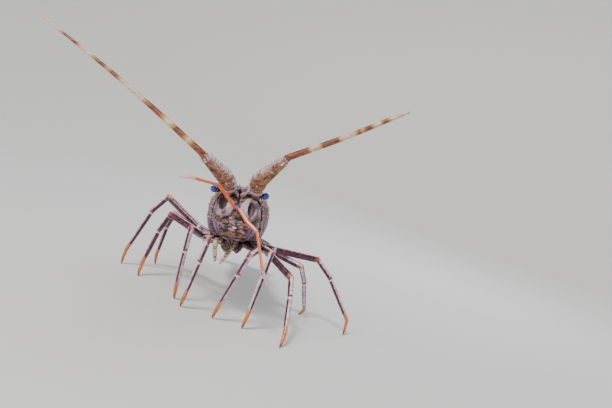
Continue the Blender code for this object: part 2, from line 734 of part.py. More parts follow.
def leg_parts(side, leg):
    points = leg_points(side, leg)
    ways, meets = leg_planes(points)
    across = (points[1] - points[2]).cross(points[4] - points[2]).normalized()
    thick = 1.08 if leg in (2, 3) else 1.0
    r = [radius * thick for radius in LEG_RADII]
    label = f"leg_{side}_{leg + 1}"
    knee_angle = acos(max(-1, min(1, ways[1].dot(ways[2])))) / 2
    clear = r[4] * sin(knee_angle) / cos(knee_angle) + 2.5

    path = [points[0] + ways[0] * GAP, points[0] + ways[0] * 8, points[1] - ways[0] * 4, points[1] + ways[1] * 4,
            points[1].lerp(points[2], 0.45), points[2] - ways[1] * clear, points[2] - meets[1] * GAP / 2]
    radii = [r[0], r[0] * 0.95, r[1], r[1] * 0.95, r[2], r[2], r[4]]
    upper = tube(path, radii, LEG_SIDES, across, first=ways[0], last=meets[1])
    upper = standing_part(f"{label}_upper", upper, "leg")
    bulge = (meets[1] - ways[1]).normalized()
    spines = [cone(path[5] - bulge * (r[2] - 0.8), ways[1] * 0.9 - bulge, 3.6, 1.1, 1.8, sides=5)]
    for turn in (-1, 1):
        out = (across * turn - bulge * 0.7).normalized()
        spines.append(cone(path[3] + out * (r[1] - 1.2), out + ways[1] * 0.7, 3.0, 1.2, 1.6, sides=5))
        spines.append(cone(path[2] + out * (r[1] - 0.8), out + ways[0] * 0.7, 2.6, 1.2, 1.6, sides=5))
    join(upper, spines)

    path = [points[2] + meets[1] * GAP / 2, points[2] + ways[2] * clear, points[3] - ways[2] * 3,
            points[3] + ways[3] * 3, points[3].lerp(points[4], 0.5), points[4] - ways[3] * 4,
            points[4] - meets[3] * GAP / 2]
    radii = [r[4], r[5], r[5] * 0.92, r[6] * 1.05, r[6], r[7], r[7]]
    lower = tube(path, radii, LEG_SIDES, across, first=meets[1], last=meets[3])
    lower = standing_part(f"{label}_lower", lower, "leg")
    if leg == 0:
        inner = (ways[4] - ways[3] * ways[4].dot(ways[3])).normalized()
        join(lower, [cone(path[5] + inner * 1.2, inner * 1.5 + ways[3], HOOK_LENGTH, 1.8, 1.4, sides=6)])

    foot = points[5]
    path = [points[4] + meets[3] * GAP / 2, points[4] + ways[4] * 4, points[4].lerp(foot, 0.7), foot]
    radii = [r[7], r[8], 1.5, r[9]]
    claw = tube(path, radii, LEG_SIDES, across, first=meets[3], last=Vector((0, 0, -1)))
    standing_part(f"{label}_claw", claw, "claw")


# Tail

def tail_frames():
    """Start, direction and up of each ring of the tail, then of the fan."""
    frames, at = [], Vector(TAIL_START)
    for length, _, _, _, drop in TAIL_RINGS:
        way = Vector((0, cos(radians(drop)), -sin(radians(drop))))
        frames.append((at.copy(), way))
        at = at + way * length
    frames.append((at, Vector((0, cos(radians(FAN_DROP)), -sin(radians(FAN_DROP))))))
    return frames


def tail_outline(width, top, lobe, depth):
    """Half of a ring's section from the middle of the back to the middle of the belly."""
    points = []
    for i in range(7):
        a = radians(15 * i)
        points.append((width * sin(a) ** 0.9, top * cos(a) ** 0.95))
    points.append((width * 1.0, -lobe * 0.45))
    points.append((width * 0.97, -lobe))
    points.append((width * 0.84, -lobe * 0.5))
    points.append((width * 0.78, -depth))
    points.append((0.0, -depth - 1.5))
    return points


def tail_ring(number):
    length, width, top, lobe, _ = TAIL_RINGS[number]
    frames = tail_frames()
    start, way = frames[number]
    end, onward = frames[number + 1]
    first = way if number == 0 else way + frames[number - 1][1]
    sections = []
    profile = [
        (0.0, 0.93, 0.55), (0.14, 0.96, 0.75), (0.34, 1.0, 1.0), (0.44, 0.955, 1.0), (0.54, 1.0, 0.98),
        (0.85, 1.015, 0.8), (1.0, 1.01, 0.62),
    ]
    for t, scale, reach in profile:
        normal = first.normalized().lerp((way + onward).normalized(), t).normalized()
        at = start.lerp(end, t) + normal * (GAP if t == 0 else 0)
        up = Vector((0, -normal.z, normal.y)) * (-1 if normal.y < 0 else 1)
        half = tail_outline(width * scale, top * scale, max(lobe * reach, 13.0), 11.0)
        half = [at + Vector((x, 0, 0)) + up * z for x, z in half]
        other = [Vector((-p.x, p.y, p.z)) for p in half[-2:0:-1]]
        sections.append(half + other)
    obj = body_part(f"tail_{number + 1}", loft(sections), "tail")
    pieces = []
    for side in (1, -1):
        at = start.lerp(end, 0.5) + Vector((width * 0.93 * side, 0, -lobe * 0.86))
        pieces.append(cone(at, Vector((0.12 * side, 0.5, -1)), 5.5, 1.7, 3.0))
        if 0 < number < 5:
            root = start.lerp(end, 0.45) + Vector((13 * side, 0, -9.5))
            down = Vector((0.25 * side, 0.62, -0.78)).normalized()
            path = [root, root + down * 6, root + down * 15, root + down * 23, root + down * 27]
            bm = loft([ring(p, down, Vector((1, 0, 0)), w, 0.9 if w > 3 else 0.5, 8)
                       for p, w in zip(path, (3.0, 5.5, 7.5, 6.0, 2.5))])
            pieces.append(bm)
    return join(obj, pieces)


def fan_blade(name, root, swing, length, widths, thick, drop):
    """One leaf of the tail fan; `swing` is its angle from the middle line in degrees."""
    _, way = tail_frames()[6]
    _, before = tail_frames()[5]
    meet = (way + before).normalized()
    s = radians(swing)
    down = Matrix.Rotation(-radians(FAN_DROP + drop), 3, "X")
    onward = down @ Vector((sin(s), cos(s), 0))
    sideways = down @ Vector((cos(s), -sin(s), 0))
    at = tail_frames()[6][0]
    up = Vector((0, -meet.z, meet.y))
    start = at + meet * GAP + Vector((root[0], 0, 0)) + up * root[1]
    sections = []
    for t, width in widths:
        place = start + onward * length * t
        normal = meet if t == 0 else onward
        height = thick * (1 - 0.55 * t)
        sections.append(ring(place, normal, sideways if t > 0 else Vector((1, 0, 0)), width, height, 10, 0.8))
    return body_part(name, loft(sections), "tail")


def tail_fan():
    leaf = [(0, 9.5), (0.15, 11.0), (0.5, 14.0), (0.85, 14.5), (0.96, 12.0), (1.0, 8.0)]
    fan_blade("telson", (0, 3.0), 0, FAN_LENGTH, leaf, 1.7, 0)
    inner = [(0, 3.6), (0.15, 6.0), (0.45, 11.0), (0.8, 12.5), (0.95, 9.0), (1.0, 5.0)]
    outer = [(0, 3.2), (0.15, 5.5), (0.45, 11.0), (0.8, 13.0), (0.95, 9.5), (1.0, 5.0)]
    for name, side in SIDES.items():
        fan_blade(f"fan_inner_{name}", (15 * side, -2.2), 16 * side, FAN_LENGTH + 2, inner, 1.5, 0)
        fan_blade(f"fan_outer_{name}", (20 * side, -6.6), 34 * side, FAN_LENGTH, outer, 1.5, 0)


def centre_on_origin():
    """Move the whole animal so that the middle of its footprint box is at the origin."""
    bpy.context.view_layer.update()
    corners = [obj.matrix_world @ vertex.co for obj in LOBSTER.objects if obj.type == "MESH"
               for vertex in obj.data.vertices]
    middle = [(min(c[i] for c in corners) + max(c[i] for c in corners)) / 2 for i in (0, 1)]
    shift = Matrix.Translation((-middle[0], -middle[1], 0))
    for frame in (BODY, STAND):
        frame.matrix_world = shift @ frame.matrix_world


def build():
    carapace()
    face()
    mandibles()
    chest()
    for name, side in SIDES.items():
        eye(name, side)
        maxilliped(name, side)
        antenna_base(name, side)
        antenna_shaft(name, side)
        feeler(name, side)
        antennule_base(name, side)
        antennule_tip(name, side)
        for leg in range(5):
            leg_parts(name, leg)
    for number in range(6):
        tail_ring(number)
    tail_fan()
    centre_on_origin()


build()
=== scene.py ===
"""The looks of a spiny lobster: fine shell plates, face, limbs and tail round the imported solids.

Shapes are worked out in millimetres in two frames that the solids share: the body frame (x to the
animal's left, y to its tail, z up, its start at the front edge of the shell) and the standing
frame, whose floor is z = 0. They become metres where a mesh is made.
"""
import random
from math import acos, atan2, cos, pi, radians, sin, sqrt, tan

import bpy
import numpy as np
from mathutils import Matrix, Vector, noise


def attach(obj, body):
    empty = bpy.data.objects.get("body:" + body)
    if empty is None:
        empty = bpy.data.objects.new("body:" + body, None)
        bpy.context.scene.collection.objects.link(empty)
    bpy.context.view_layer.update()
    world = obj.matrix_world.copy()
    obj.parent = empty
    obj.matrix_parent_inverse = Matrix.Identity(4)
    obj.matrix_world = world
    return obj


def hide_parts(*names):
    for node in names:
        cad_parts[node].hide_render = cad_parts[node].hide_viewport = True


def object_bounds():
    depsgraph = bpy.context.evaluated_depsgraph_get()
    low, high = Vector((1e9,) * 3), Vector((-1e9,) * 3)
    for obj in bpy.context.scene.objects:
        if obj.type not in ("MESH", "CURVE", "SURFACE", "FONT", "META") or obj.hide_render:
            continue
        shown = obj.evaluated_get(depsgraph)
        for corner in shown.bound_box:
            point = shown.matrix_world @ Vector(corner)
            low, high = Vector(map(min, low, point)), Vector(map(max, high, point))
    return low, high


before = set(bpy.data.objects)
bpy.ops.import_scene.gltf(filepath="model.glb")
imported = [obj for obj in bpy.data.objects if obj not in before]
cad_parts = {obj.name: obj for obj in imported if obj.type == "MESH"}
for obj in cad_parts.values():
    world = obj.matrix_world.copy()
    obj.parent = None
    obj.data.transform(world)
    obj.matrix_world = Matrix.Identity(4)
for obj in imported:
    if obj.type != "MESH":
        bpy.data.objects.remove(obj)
cad_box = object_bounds()

MM = 0.001
SIDES = {"left": 1, "right": -1}

# Stance of the body
BODY_AT = np.array([-14.0, 0.0, 136.0])
HEAD_UP = 9.0                   # degrees
LEAN = 8.0
TURNED = 4.0

# Shell of the head and chest
SHELL_LENGTH = 140.0
SHELL_WIDTH = 81.0
SHELL_TOP = 36.5
SHELL_BELLY = 38.0
SHELL_FLOOR = -27.0
FRONT_DROP = 6.0
FRONT_DROP_END = 34.0
FLANK_POWER = 0.45
HIND_FLANK_POWER = 0.85
GROOVE_AT = 62.0
GROOVE_DEPTH = 2.6
RIM_GROOVE_AT = 131.0
MARGIN_TOP = (-5.0, 36.0)
MARGIN_BOTTOM = (22.0, -42.0)
HORN_ROOT = (19.0, 9.0, 27.0)
HORN_TIP = (25.0, -11.0, 50.0)
HORN_WIDTH = 6.5
HORN_BOW = np.array([0, -5.0, -1.0])
# Rows of spines: degrees from the middle of the back, and the longest spine
SPINE_ROWS = [(8, 7.0), (22, 6.4), (37, 6.4), (53, 6.0), (69, 5.4), (85, 4.8), (103, 3.8)]
SPINE_PITCH = 11.0
# Spines along the front edge: degrees from the middle, the same on both sides, and length
FRONT_SPINES = [(4, 4.5), (62, 7), (88, 5.5), (47, 4.5), (75, 4.0), (100, 3.5)]
FRONT_SPINES_AT = 7
SMALL_SPINES = 1150
SHELL_HAIRS = 11000

# Face and eyes
FACE_WIDTH = 61.0
FACE_TOP = 25.0
FACE_BOTTOM = -38.0
# From the back of the face to its front: y, and shares of its width, height and depth below
FACE_PROFILE = [
    (30, 1.05, 1.1, 1.0), (14, 1.05, 1.1, 1.0), (4, 1.02, 1.08, 1.0),
    (-4, 0.94, 0.93, 0.97), (-10, 0.84, 0.73, 0.91), (-15, 0.68, 0.5, 0.82),
    (-19, 0.48, 0.32, 0.68), (-21.6, 0.24, 0.18, 0.5), (-22.2, 0.03, 0.05, 0.3),
]
PIT_AT = (17.7, 5.0)            # x and z of the pit beside each antennule
PIT_SIZE = (5.2, 11.0)
PIT_RISE = 4.0                  # how much higher the animal's right pit lies
PLATE_AT = (17.4, 5.2)          # the pale plate round each pit
PLATE_SIZE = (14.2, 16.0)
# Small pale spots of the face: x, z and the half sizes of each
FACE_SPOTS = [(-6, -9.5, 2.4, 1.1), (8, -12.5, 2.2, 1.1), (-14, -20, 2.4, 1.0), (12, -25, 2.2, 0.9)]
EYE_AT = {"left": (33.0, -16.0, 25.0), "right": (-33.5, -12.0, 23.5)}
EYE_RADIUS = 4.4
STALK_START = (15.0, -3.5, 19.5)
STALK_ROOT = (25.0, -6.0, 24.5)

# Antennae and antennules
ANTENNA = {
    "left": {"lean": (1, -20, 24), "joint": (20.6, -30, 41),
             "collar": (49, -48, 70), "end": (182, -95, 145)},
    "right": {"lean": (-8, -20, 24), "joint": (-19, -28, 38),
              "collar": (-48, -52, 58), "end": (-259, -70, 184)},
}
STALK_BASE_LENGTH = 20.0
# Distance from the root, and the radius there; before the root it runs back to the face
STALK_BASE_RADII = [(-20, 4.0), (-4, 4.4), (-1.8, 5.0), (-0.8, 6.8), (0, 7.2), (2.2, 8.0), (4.2, 8.5),
                    (6.2, 8.0), (7.4, 7.2), (9, 8.2), (11, 9.2), (14, 10.4), (17, 10.7), (19, 10.3),
                    (20, 9.4)]
# Share of the way from the joint to the collar, and the radius there
STALK_RADII = [(0, 9.4), (0.03, 10.0), (0.12, 10.2), (0.3, 9.4), (0.5, 8.4), (0.7, 7.2), (0.86, 6.5),
               (0.93, 5.9), (0.985, 5.6), (1.0, 5.2)]
STALK_JOINT_RADIUS = 10.2
COLLAR_RADIUS = 5.4
# Big spines before the collar: degrees round the stalk, length and width
COLLAR_SPINES = [(198, 8.0, 2.3), (130, 5.5, 2.2), (30, 5.0, 1.9), (85, 3.6, 2.2), (250, 4.0, 2.0)]
FEELER_BOW = {"left": -2.0, "right": 4.0}
FEELER_ROOT_RADIUS = 4.2
FEELER_END_RADIUS = {"left": 2.4, "right": 1.2}
# Pale bands of a feeler: middle and half width, as shares of its length
FEELER_BANDS = {
    "left": [(0.255, 0.035), (0.515, 0.055), (0.63, -0.003), (0.745, 0.025), (0.93, 0.08)],
    "right": [(0.106, 0.008), (0.235, 0.022), (0.463, 0.07), (0.61, -0.003), (0.74, 0.035), (0.95, 0.055)],
}
# Points of an antennule: its root, two joints, the fork and the ends of its two feelers
ANTENNULE = {
    "left": [(2.7, -22, 3), (15, -34, -11), (30, -41, -22), (44, -44, -66), (54, -41, -79), (53, -46, -84)],
    "right": [(-2.7, -22, 3), (-15, -36, 17), (-25, -51, 26), (-49, -86, 26), (-67, -92, 24), (-59, -85, 30)],
}
# Points of an outer mouth limb: root, knee, last joint and end
MAXILLIPED = {
    "left": [(8, 34, -36), (1, 15, -44), (-5, 14, -57), (-12, 13, -70)],
    "right": [(-8, 34, -36), (-22, 15, -40.5), (-20.5, 12, -54), (-17.5, 9, -68)],
}

# Chest and legs
CHEST_START = 35.0
CHEST_END = 122.0
CHEST_KEEL = -42.0
# Along the chest plate: y, and its half widths above and below
CHEST_WIDTHS = [(CHEST_START, 8, 6), (50, 11, 8), (66, 14, 11), (83, 17, 13), (100, 20, 15), (112, 21, 15),
                (CHEST_END, 18, 12)]
# Where the legs start on the animal's left; the right side mirrors them
HIPS = [(15, 42, -38), (18, 58, -39), (21, 75, -39), (24, 92, -38), (26, 108, -36)]
# Lengths of the root joints, upper leg, knee joint, shin and claw of each leg
LEG_LENGTHS = [
    (27, 50, 27, 54, 17),
    (29, 55, 28, 56, 18),
    (30, 62, 28, 53, 18),
    (31, 68, 32, 68, 22),
    (28, 55, 26, 53, 17),
]
# For each leg: swing and rise of its root joints, lean of the knee outwards and forwards,
# the foot's place on the floor, and the bends before the shin and the claw, in degrees
STANCE = {
    "left": [
        (45, -14, 10, 30, (-2, -20), 4, 20),
        (35, -6, 0, -20, (38, -24), 4, 14),
        (42, -5, 20, -30, (90, -50), 4, 14),
        (-5, -4, 10, -10, (177, 98), 12, 40),
        (-18, -14, -10, 30, (108, 134), 12, 36),
    ],
    "right": [
        (40, -6, -10, 30, (-46, -14), 4, 14),
        (14, 5, 0, 0, (-60, 10), 4, 14),
        (20, 8, 0, -20, (-126, 60), 12, 14),
        (-5, 20, 20, -10, (-163, 96), 16, 16),
        (-30, 10, 10, 10, (-128, 155), 12, 14),
    ],
}
LEG_RADII = {"root": 6.0, "root_end": 5.0, "thigh": 4.5, "knee": 4.1, "knee_joint": 3.5, "shin": 3.0,
             "shin_end": 2.5, "claw": 2.2}
# The first legs' hook: how far its points lie on along the shin and inwards from its end
HOOK = [(-4, 0.6), (-2.5, 3.2), (0.6, 6.4)]
STOUT_LEGS = (2, 3)
STOUTER = 1.08
CLAW_SAG = 0.5
# Spines of an upper leg: distance from its root, degrees round it and length
LEG_SPINES = [(35, 60, 2.2), (35, 120, 2.2), (22, 60, 2.4), (22, 120, 2.4), (14, 45, 2.0), (14, 135, 2.0)]

# Tail: length, half width, height, depth of the side lobes and drop of each ring
TAIL_RINGS = [
    (27, 35, 26, 20, 0),
    (27, 36, 26, 27, 2),
    (27, 35, 24, 27, 4),
    (27, 33, 22, 25, 6),
    (26, 31, 20, 23, 9),
    (25, 28, 17, 19, 12),
]
# Along a ring: share of its length, of its half width and height, and of its side lobes' depth
RING_PROFILE = [
    (0.0, 0.955, 0.55), (0.14, 0.97, 0.75), (0.30, 0.995, 1.0), (0.36, 0.99, 1.0),
    (0.42, 0.965, 1.0), (0.48, 0.985, 1.0), (0.54, 1.0, 0.98), (0.85, 1.008, 0.8),
    (0.955, 1.008, 0.64), (0.985, 0.995, 0.61), (1.0, 0.965, 0.6),
]
TAIL_START = (0.0, 140.0, -2.0)
FAN_LENGTH = 47.0
FAN_DROP = 16.0
# Share of a blade's length, and its half width there
FAN_MIDDLE_WIDTHS = [(0, 9.5), (0.15, 11.0), (0.5, 14.0), (0.85, 14.5), (0.96, 12.0), (1.0, 8.0)]
# The side blades: place outwards and down, swing in degrees, extra length and widths
FAN_BLADES = {
    "inner": (15, 2.2, 16, 2, [(0, 3.6), (0.15, 6.0), (0.45, 11.0), (0.8, 12.5), (0.95, 9.0), (1.0, 5.0)]),
    "outer": (20, 6.6, 34, 0, [(0, 3.2), (0.15, 5.5), (0.45, 11.0), (0.8, 13.0), (0.95, 9.5), (1.0, 5.0)]),
}

# The view of the photograph, in the standing frame
CAMERA_AT = (66.8, -760.0, 225.0)
CAMERA_PITCH = -3.9             # degrees
CAMERA_ROLL = 18.0
LENS = 35.0
SENSOR = 36.0
FLOOR_EDGE = 3.2                # metres above the floor, all round

rng = random.Random(11)


def turn_of_body():
    tilt = Matrix.Rotation(radians(-LEAN), 3, "Y") @ Matrix.Rotation(radians(-HEAD_UP), 3, "X")
    return np.array(Matrix.Rotation(radians(TURNED), 3, "Z") @ tilt)


TURN = turn_of_body()


def place_of_stand():
    """Where the standing frame lies, read from the flat of the first left claw."""
    points = np.array([v.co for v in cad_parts["leg_left_1_claw"].data.vertices])
    flat = points[points[:, 2] < points[:, 2].min() + 0.0001]
    middle = (flat.min(0) + flat.max(0)) / 2
    foot = STANCE["left"][0][4]
    return np.array([middle[0] - foot[0] * MM, middle[1] - foot[1] * MM, 0.0])


STAND_AT = place_of_stand()


def stand_to_world(points):
    return np.asarray(points, float) * MM + STAND_AT


def body_to_stand(points):
    return np.asarray(points, float) @ TURN.T + BODY_AT


def body_to_world(points):
    return stand_to_world(body_to_stand(points))


def unit(v):
    v = np.asarray(v, float)
    return v / np.maximum(np.linalg.norm(v, axis=-1, keepdims=True), 1e-9)


def smooth_step(t):
    t = np.clip(t, 0.0, 1.0)
    return t * t * (3 - 2 * t)


def bump_at(x, middle, half):
    """1 at the middle and 0 past half a width from it, smoothly."""
    t = np.abs(np.asarray(x) - middle) / half
    return np.where(t < 1, np.cos(np.minimum(t, 1) * pi / 2) ** 2, 0.0)


def turns(columns):
    """The angles of even columns round a piece."""
    return 2 * pi * np.arange(columns) / columns


def distances(path):
    """How far along a path each of its points lies."""
    return np.concatenate([[0], np.cumsum(np.linalg.norm(np.diff(path, axis=0), axis=1))])


def along_line(s, at, points):
    """Places at distances s on a line through points at distances `at`."""
    return np.stack([np.interp(s, at, points[:, i]) for i in range(3)], axis=1)


def kernel(reach):
    """Weights that soften a row of values over `reach` neighbours on either side."""
    weights = np.hanning(2 * reach + 3)[1:-1]
    return weights / weights.sum()


def grain(points, size, seed=0):
    """Smooth noise in -1..1 over an array of places in millimetres."""
    flat = np.asarray(points, float).reshape(-1, 3) / size + seed * 7.3
    values = [noise.noise(Vector(p)) for p in flat]
    return np.array(values).reshape(np.asarray(points).shape[:-1])


# Arithmetic on node sockets

class Value:
    """A socket that takes part in arithmetic; each operation adds a Math node."""

    def __init__(self, tree, socket):
        self.tree = tree
        self.socket = socket

    def math(self, operation, *others, clamp=False):
        return self.tree.add("ShaderNodeMath", {"operation": operation, "use_clamp": clamp}, [self, *others])

    def __add__(self, other):
        return self.math("ADD", other)

    __radd__ = __add__

    def __sub__(self, other):
        return self.math("SUBTRACT", other)

    def __rsub__(self, other):
        return self.tree.add("ShaderNodeMath", {"operation": "SUBTRACT"}, [other, self])

    def __mul__(self, other):
        return self.math("MULTIPLY", other)

    __rmul__ = __mul__

    def clamped(self):
        return self.math("ADD", 0.0, clamp=True)

    def over(self, edge, softness):
        """A mask that rises from 0 to 1 round the edge."""
        return ((self - edge) * (1 / softness) + 0.5).clamped()


class Tree:
    """A node tree whose nodes are added by type, settings and sockets."""

    def __init__(self, nodes):
        self.nodes = nodes

    def add(self, kind, settings=None, inputs=(), output=0):
        node = self.nodes.nodes.new(kind)
        for key, value in (settings or {}).items():
            if key == "stops":
                self.set_stops(node.color_ramp, value)
            else:
                setattr(node, key, value)
        pairs = inputs.items() if isinstance(inputs, dict) else enumerate(inputs)
        for key, value in pairs:
            self.feed(node.inputs[key], value)
        return Value(self, node.outputs[output])

    def feed(self, socket, value):
        if isinstance(value, Value):
            self.nodes.links.new(value.socket, socket)
        elif isinstance(value, tuple) and len(value) == 3 and len(socket.default_value) == 4:
            socket.default_value = (*value, 1.0)
        else:
            socket.default_value = value

    @staticmethod
    def set_stops(ramp, stops):
        while len(ramp.elements) < len(stops):
            ramp.elements.new(0.5)
        for element, (position, color) in zip(ramp.elements, stops):
            element.position = position
            element.color = (*color, 1.0)


class Finish(Tree):
    """A material: a Principled shader with patterns in millimetres of the body frame."""

    def __init__(self, name, **sockets):
        self.material = bpy.data.materials.new(name)
        self.material.use_nodes = True
        super().__init__(self.material.node_tree)
        self.shader = self.nodes.nodes["Principled BSDF"]
        for key, value in sockets.items():
            self.shader.inputs[key.replace("_", " ")].default_value = value

    def place(self):
        """Object coordinates turned into the body frame."""
        world = self.add("ShaderNodeTexCoord", output="Object")
        turn = Matrix(TURN.T.tolist())
        start = turn @ Vector(BODY_AT + STAND_AT / MM)
        values = {"Vector": world, "Location": -start, "Rotation": turn.to_euler("XYZ"),
                  "Scale": (1 / MM,) * 3}
        return self.add("ShaderNodeMapping", {"vector_type": "POINT"}, values)

    def height_of(self, vector):
        parts = self.nodes.nodes.new("ShaderNodeSeparateXYZ")
        self.nodes.links.new(vector.socket, parts.inputs[0])
        return Value(self, parts.outputs["Z"])

    def stretched(self, vector, scale):
        return self.add("ShaderNodeVectorMath", {"operation": "MULTIPLY"}, [vector, scale])

    def noise(self, vector, size, detail=3.0, rough=0.55, bend=0.0):
        sockets = {"Vector": vector, "Scale": 1 / size, "Detail": detail, "Roughness": rough,
                   "Distortion": bend}
        return self.add("ShaderNodeTexNoise", {}, sockets)

    def cells(self, vector, size):
        sockets = {"Vector": vector, "Scale": 1 / size}
        return self.add("ShaderNodeTexVoronoi", {"feature": "F1"}, sockets, "Distance")

    def mark(self, name):
        return self.add("ShaderNodeAttribute", {"attribute_name": name}, output="Fac")

    def mix(self, factor, a, b):
        return self.add("ShaderNodeMix", {"data_type": "RGBA"}, {0: factor, 6: a, 7: b}, 2)

    def ramp(self, factor, *stops):
        return self.add("ShaderNodeValToRGB", {"stops": stops}, [factor])

    def bump(self, height, depth, strength=1.0):
        """Relief of a height in 0..1 that is `depth` millimetres deep."""
        sockets = {"Strength": strength, "Distance": depth * MM, "Height": height}
        return self.add("ShaderNodeBump", {}, sockets)

    def done(self, color, roughness=None, normal=None):
        self.feed(self.shader.inputs["Base Color"], color)
        if roughness is not None:
            self.feed(self.shader.inputs["Roughness"], roughness)
        if normal is not None:
            self.feed(self.shader.inputs["Normal"], normal)
        return self.material


# Colours, linear
LAVENDER = (0.42, 0.30, 0.40)
PALE_LAVENDER = (0.62, 0.50, 0.60)
BROWN = (0.13, 0.045, 0.03)
DARK_BROWN = (0.035, 0.012, 0.012)
NEAR_BLACK = (0.008, 0.005, 0.008)
RED_BROWN = (0.17, 0.035, 0.018)
DEEP_ORANGE = (0.50, 0.085, 0.012)
YELLOW = (0.66, 0.36, 0.07)
CREAM = (0.78, 0.66, 0.48)
BONE = (0.80, 0.74, 0.68)
PINK_WHITE = (0.76, 0.58, 0.60)


def shell_finish():
    f = Finish("violet_brown_shell", Coat_Weight=0.25, Coat_Roughness=0.25)
    at = f.place()
    up = f.height_of(at)
    blotch = f.noise(at, 13, 4, 0.6, 0.8)
    fine = f.noise(at, 2.2, 3, 0.6)
    speck = f.cells(at, 3.4)
    color = f.ramp(blotch + (fine - 0.5) * 0.3, (0.32, DARK_BROWN), (0.45, BROWN),
                   (0.56, (0.20, 0.075, 0.07)), (0.68, (0.27, 0.13, 0.15)))
    flank = (-1 * up + (blotch - 0.5) * 60).over(3, 30)
    violet = f.ramp(blotch + (fine - 0.5) * 0.4, (0.36, (0.10, 0.045, 0.08)),
                    (0.5, (0.21, 0.115, 0.24)), (0.66, (0.34, 0.22, 0.34)))
    color = f.mix(flank, color, violet)
    color = f.mix((0.2 - speck).over(0.0, 0.1) * blotch.over(0.5, 0.1) * 0.75, color, (0.55, 0.36, 0.26))
    color = f.mix(f.mark("groove") * 0.85, color, DARK_BROWN)
    color = f.mix(f.mark("rim") * 0.8, color, (0.50, 0.30, 0.25))
    height = fine * 0.5 + (0.5 - speck).clamped() * 0.7
    return f.done(color, 0.36 + fine * 0.22, f.bump(height, 0.45, 0.8))


def thorn_finish():
    """Spines: dark roots, lavender sides and pale tips."""
    f = Finish("pale_tipped_spine", Coat_Weight=0.3, Coat_Roughness=0.2)
    tip = f.mark("tip")
    tint = f.mark("tint")
    fine = f.noise(f.place(), 1.4)
    base = f.mix(tint, (0.13, 0.035, 0.045), (0.50, 0.36, 0.50))
    pale = f.mix(tint, (0.66, 0.38, 0.26), (0.86, 0.78, 0.80))
    color = f.mix((tip + (fine - 0.5) * 0.3).over(0.4, 0.5), base, pale)
    color = f.mix(tip.over(0.92, 0.12) * 0.7, color, (0.40, 0.11, 0.05))
    return f.done(color, 0.4 + fine * 0.1, f.bump(fine, 0.1, 0.4))


def bristle_finish():
    f = Finish("tan_bristle")
    color = f.mix(f.mark("tip"), (0.30, 0.15, 0.08), (0.62, 0.43, 0.26))
    return f.done(f.mix(f.mark("tint"), color, DEEP_ORANGE), 0.55)


def face_finish():
    f = Finish("mottled_face", Coat_Weight=0.3, Coat_Roughness=0.25)
    at = f.place()
    up = f.height_of(at)
    streaks = f.noise(f.stretched(at, (0.4, 1.0, 1.6)), 6.0, 4, 0.62, 1.8)
    lines = f.noise(f.stretched(at, (0.32, 1.0, 1.7)), 7.5, 4, 0.58, 1.7)
    fine = f.noise(at, 1.6, 3, 0.6)
    blotch = f.noise(at, 8.5, 3, 0.5, 0.6)
    color = f.ramp(streaks + (fine - 0.5) * 0.22, (0.36, NEAR_BLACK), (0.45, (0.028, 0.010, 0.014)),
                   (0.51, (0.16, 0.05, 0.035)), (0.57, (0.33, 0.17, 0.17)), (0.64, (0.46, 0.33, 0.44)))
    low = (-1 * up).over(6, 8)
    furrows = f.ramp(lines + (fine - 0.5) * 0.12, (0.40, NEAR_BLACK), (0.455, (0.04, 0.012, 0.014)),
                     (0.49, (0.34, 0.095, 0.03)), (0.525, (0.52, 0.23, 0.10)),
                     (0.55, (0.10, 0.035, 0.035)), (0.59, (0.40, 0.28, 0.38)), (0.66, (0.56, 0.44, 0.58)))
    color = f.mix(low * 0.92, color, furrows)
    color = f.mix((blotch.over(0.48, 0.1) * -0.85 + 0.85) * low, color, NEAR_BLACK)
    plate = f.mark("plate")
    plate_color = f.ramp(blotch + (fine - 0.5) * 0.5, (0.34, (0.10, 0.045, 0.045)),
                         (0.47, (0.26, 0.16, 0.19)), (0.62, (0.40, 0.29, 0.38)))
    plate_color = f.mix(f.mark("ridge"), plate_color, f.mix(fine, (0.44, 0.30, 0.32), (0.66, 0.54, 0.64)))
    color = f.mix(plate, color, plate_color)
    # Painted shade over the outer upper face and the animal's right pit.
    color = f.mix(f.mark("shade") * 0.9, color, (0.030, 0.012, 0.022))
    # Painted shade in the pits: they darken towards the middle and are lighter on their outer wall.
    shaded_pit_color = f.ramp(f.mark("pit"), (0.3, (0.12, 0.05, 0.035)), (0.75, (0.028, 0.010, 0.016)))
    shaded_pit_color = f.mix(f.mark("wall") * 0.8, shaded_pit_color, f.mix(fine, (0.15, 0.09, 0.11), (0.27, 0.19, 0.22)))
    color = f.mix(f.mark("pit").over(0.3, 0.4), color, shaded_pit_color)
    color = f.mix(f.mark("cheek") * 0.85, color, f.mix(fine, (0.17, 0.09, 0.24), (0.36, 0.25, 0.42)))
    color = f.mix(f.mark("seam"), color, NEAR_BLACK)
    color = f.mix(f.mark("spot"), color, PALE_LAVENDER)
    color = f.mix(f.mark("violet") * 0.8, color, (0.22, 0.11, 0.42))
    color = f.mix(f.mark("lip"), color, (0.33, 0.14, 0.06))
    height = fine * 0.6 + streaks * 0.5
    return f.done(color, 0.34 + fine * 0.2, f.bump(height, 0.4, 0.75))


def eye_finish():
    f = Finish("blue_black_eye", Coat_Weight=1.0, Coat_Roughness=0.03, IOR=1.5)
    at = f.place()
    facets = f.cells(at, 0.28)
    # Painted reflection: the eye is bright blue where it faces the viewer and blue-black towards its rim.
    depth = f.add("ShaderNodeLayerWeight", {}, {"Blend": 0.35}, "Facing")
    color = f.mix(depth, (0.006, 0.035, 0.42), (0.003, 0.006, 0.05))
    return f.done(color, 0.12, f.bump(facets, 0.02, 0.3))


def stalk_finish():
    f = Finish("brown_stalk", Coat_Weight=0.3)
    fine = f.noise(f.place(), 1.8, 3)
    color = f.ramp(fine, (0.44, DARK_BROWN), (0.58, (0.17, 0.065, 0.05)), (0.74, LAVENDER))
    return f.done(color, 0.4, f.bump(fine, 0.2, 0.6))


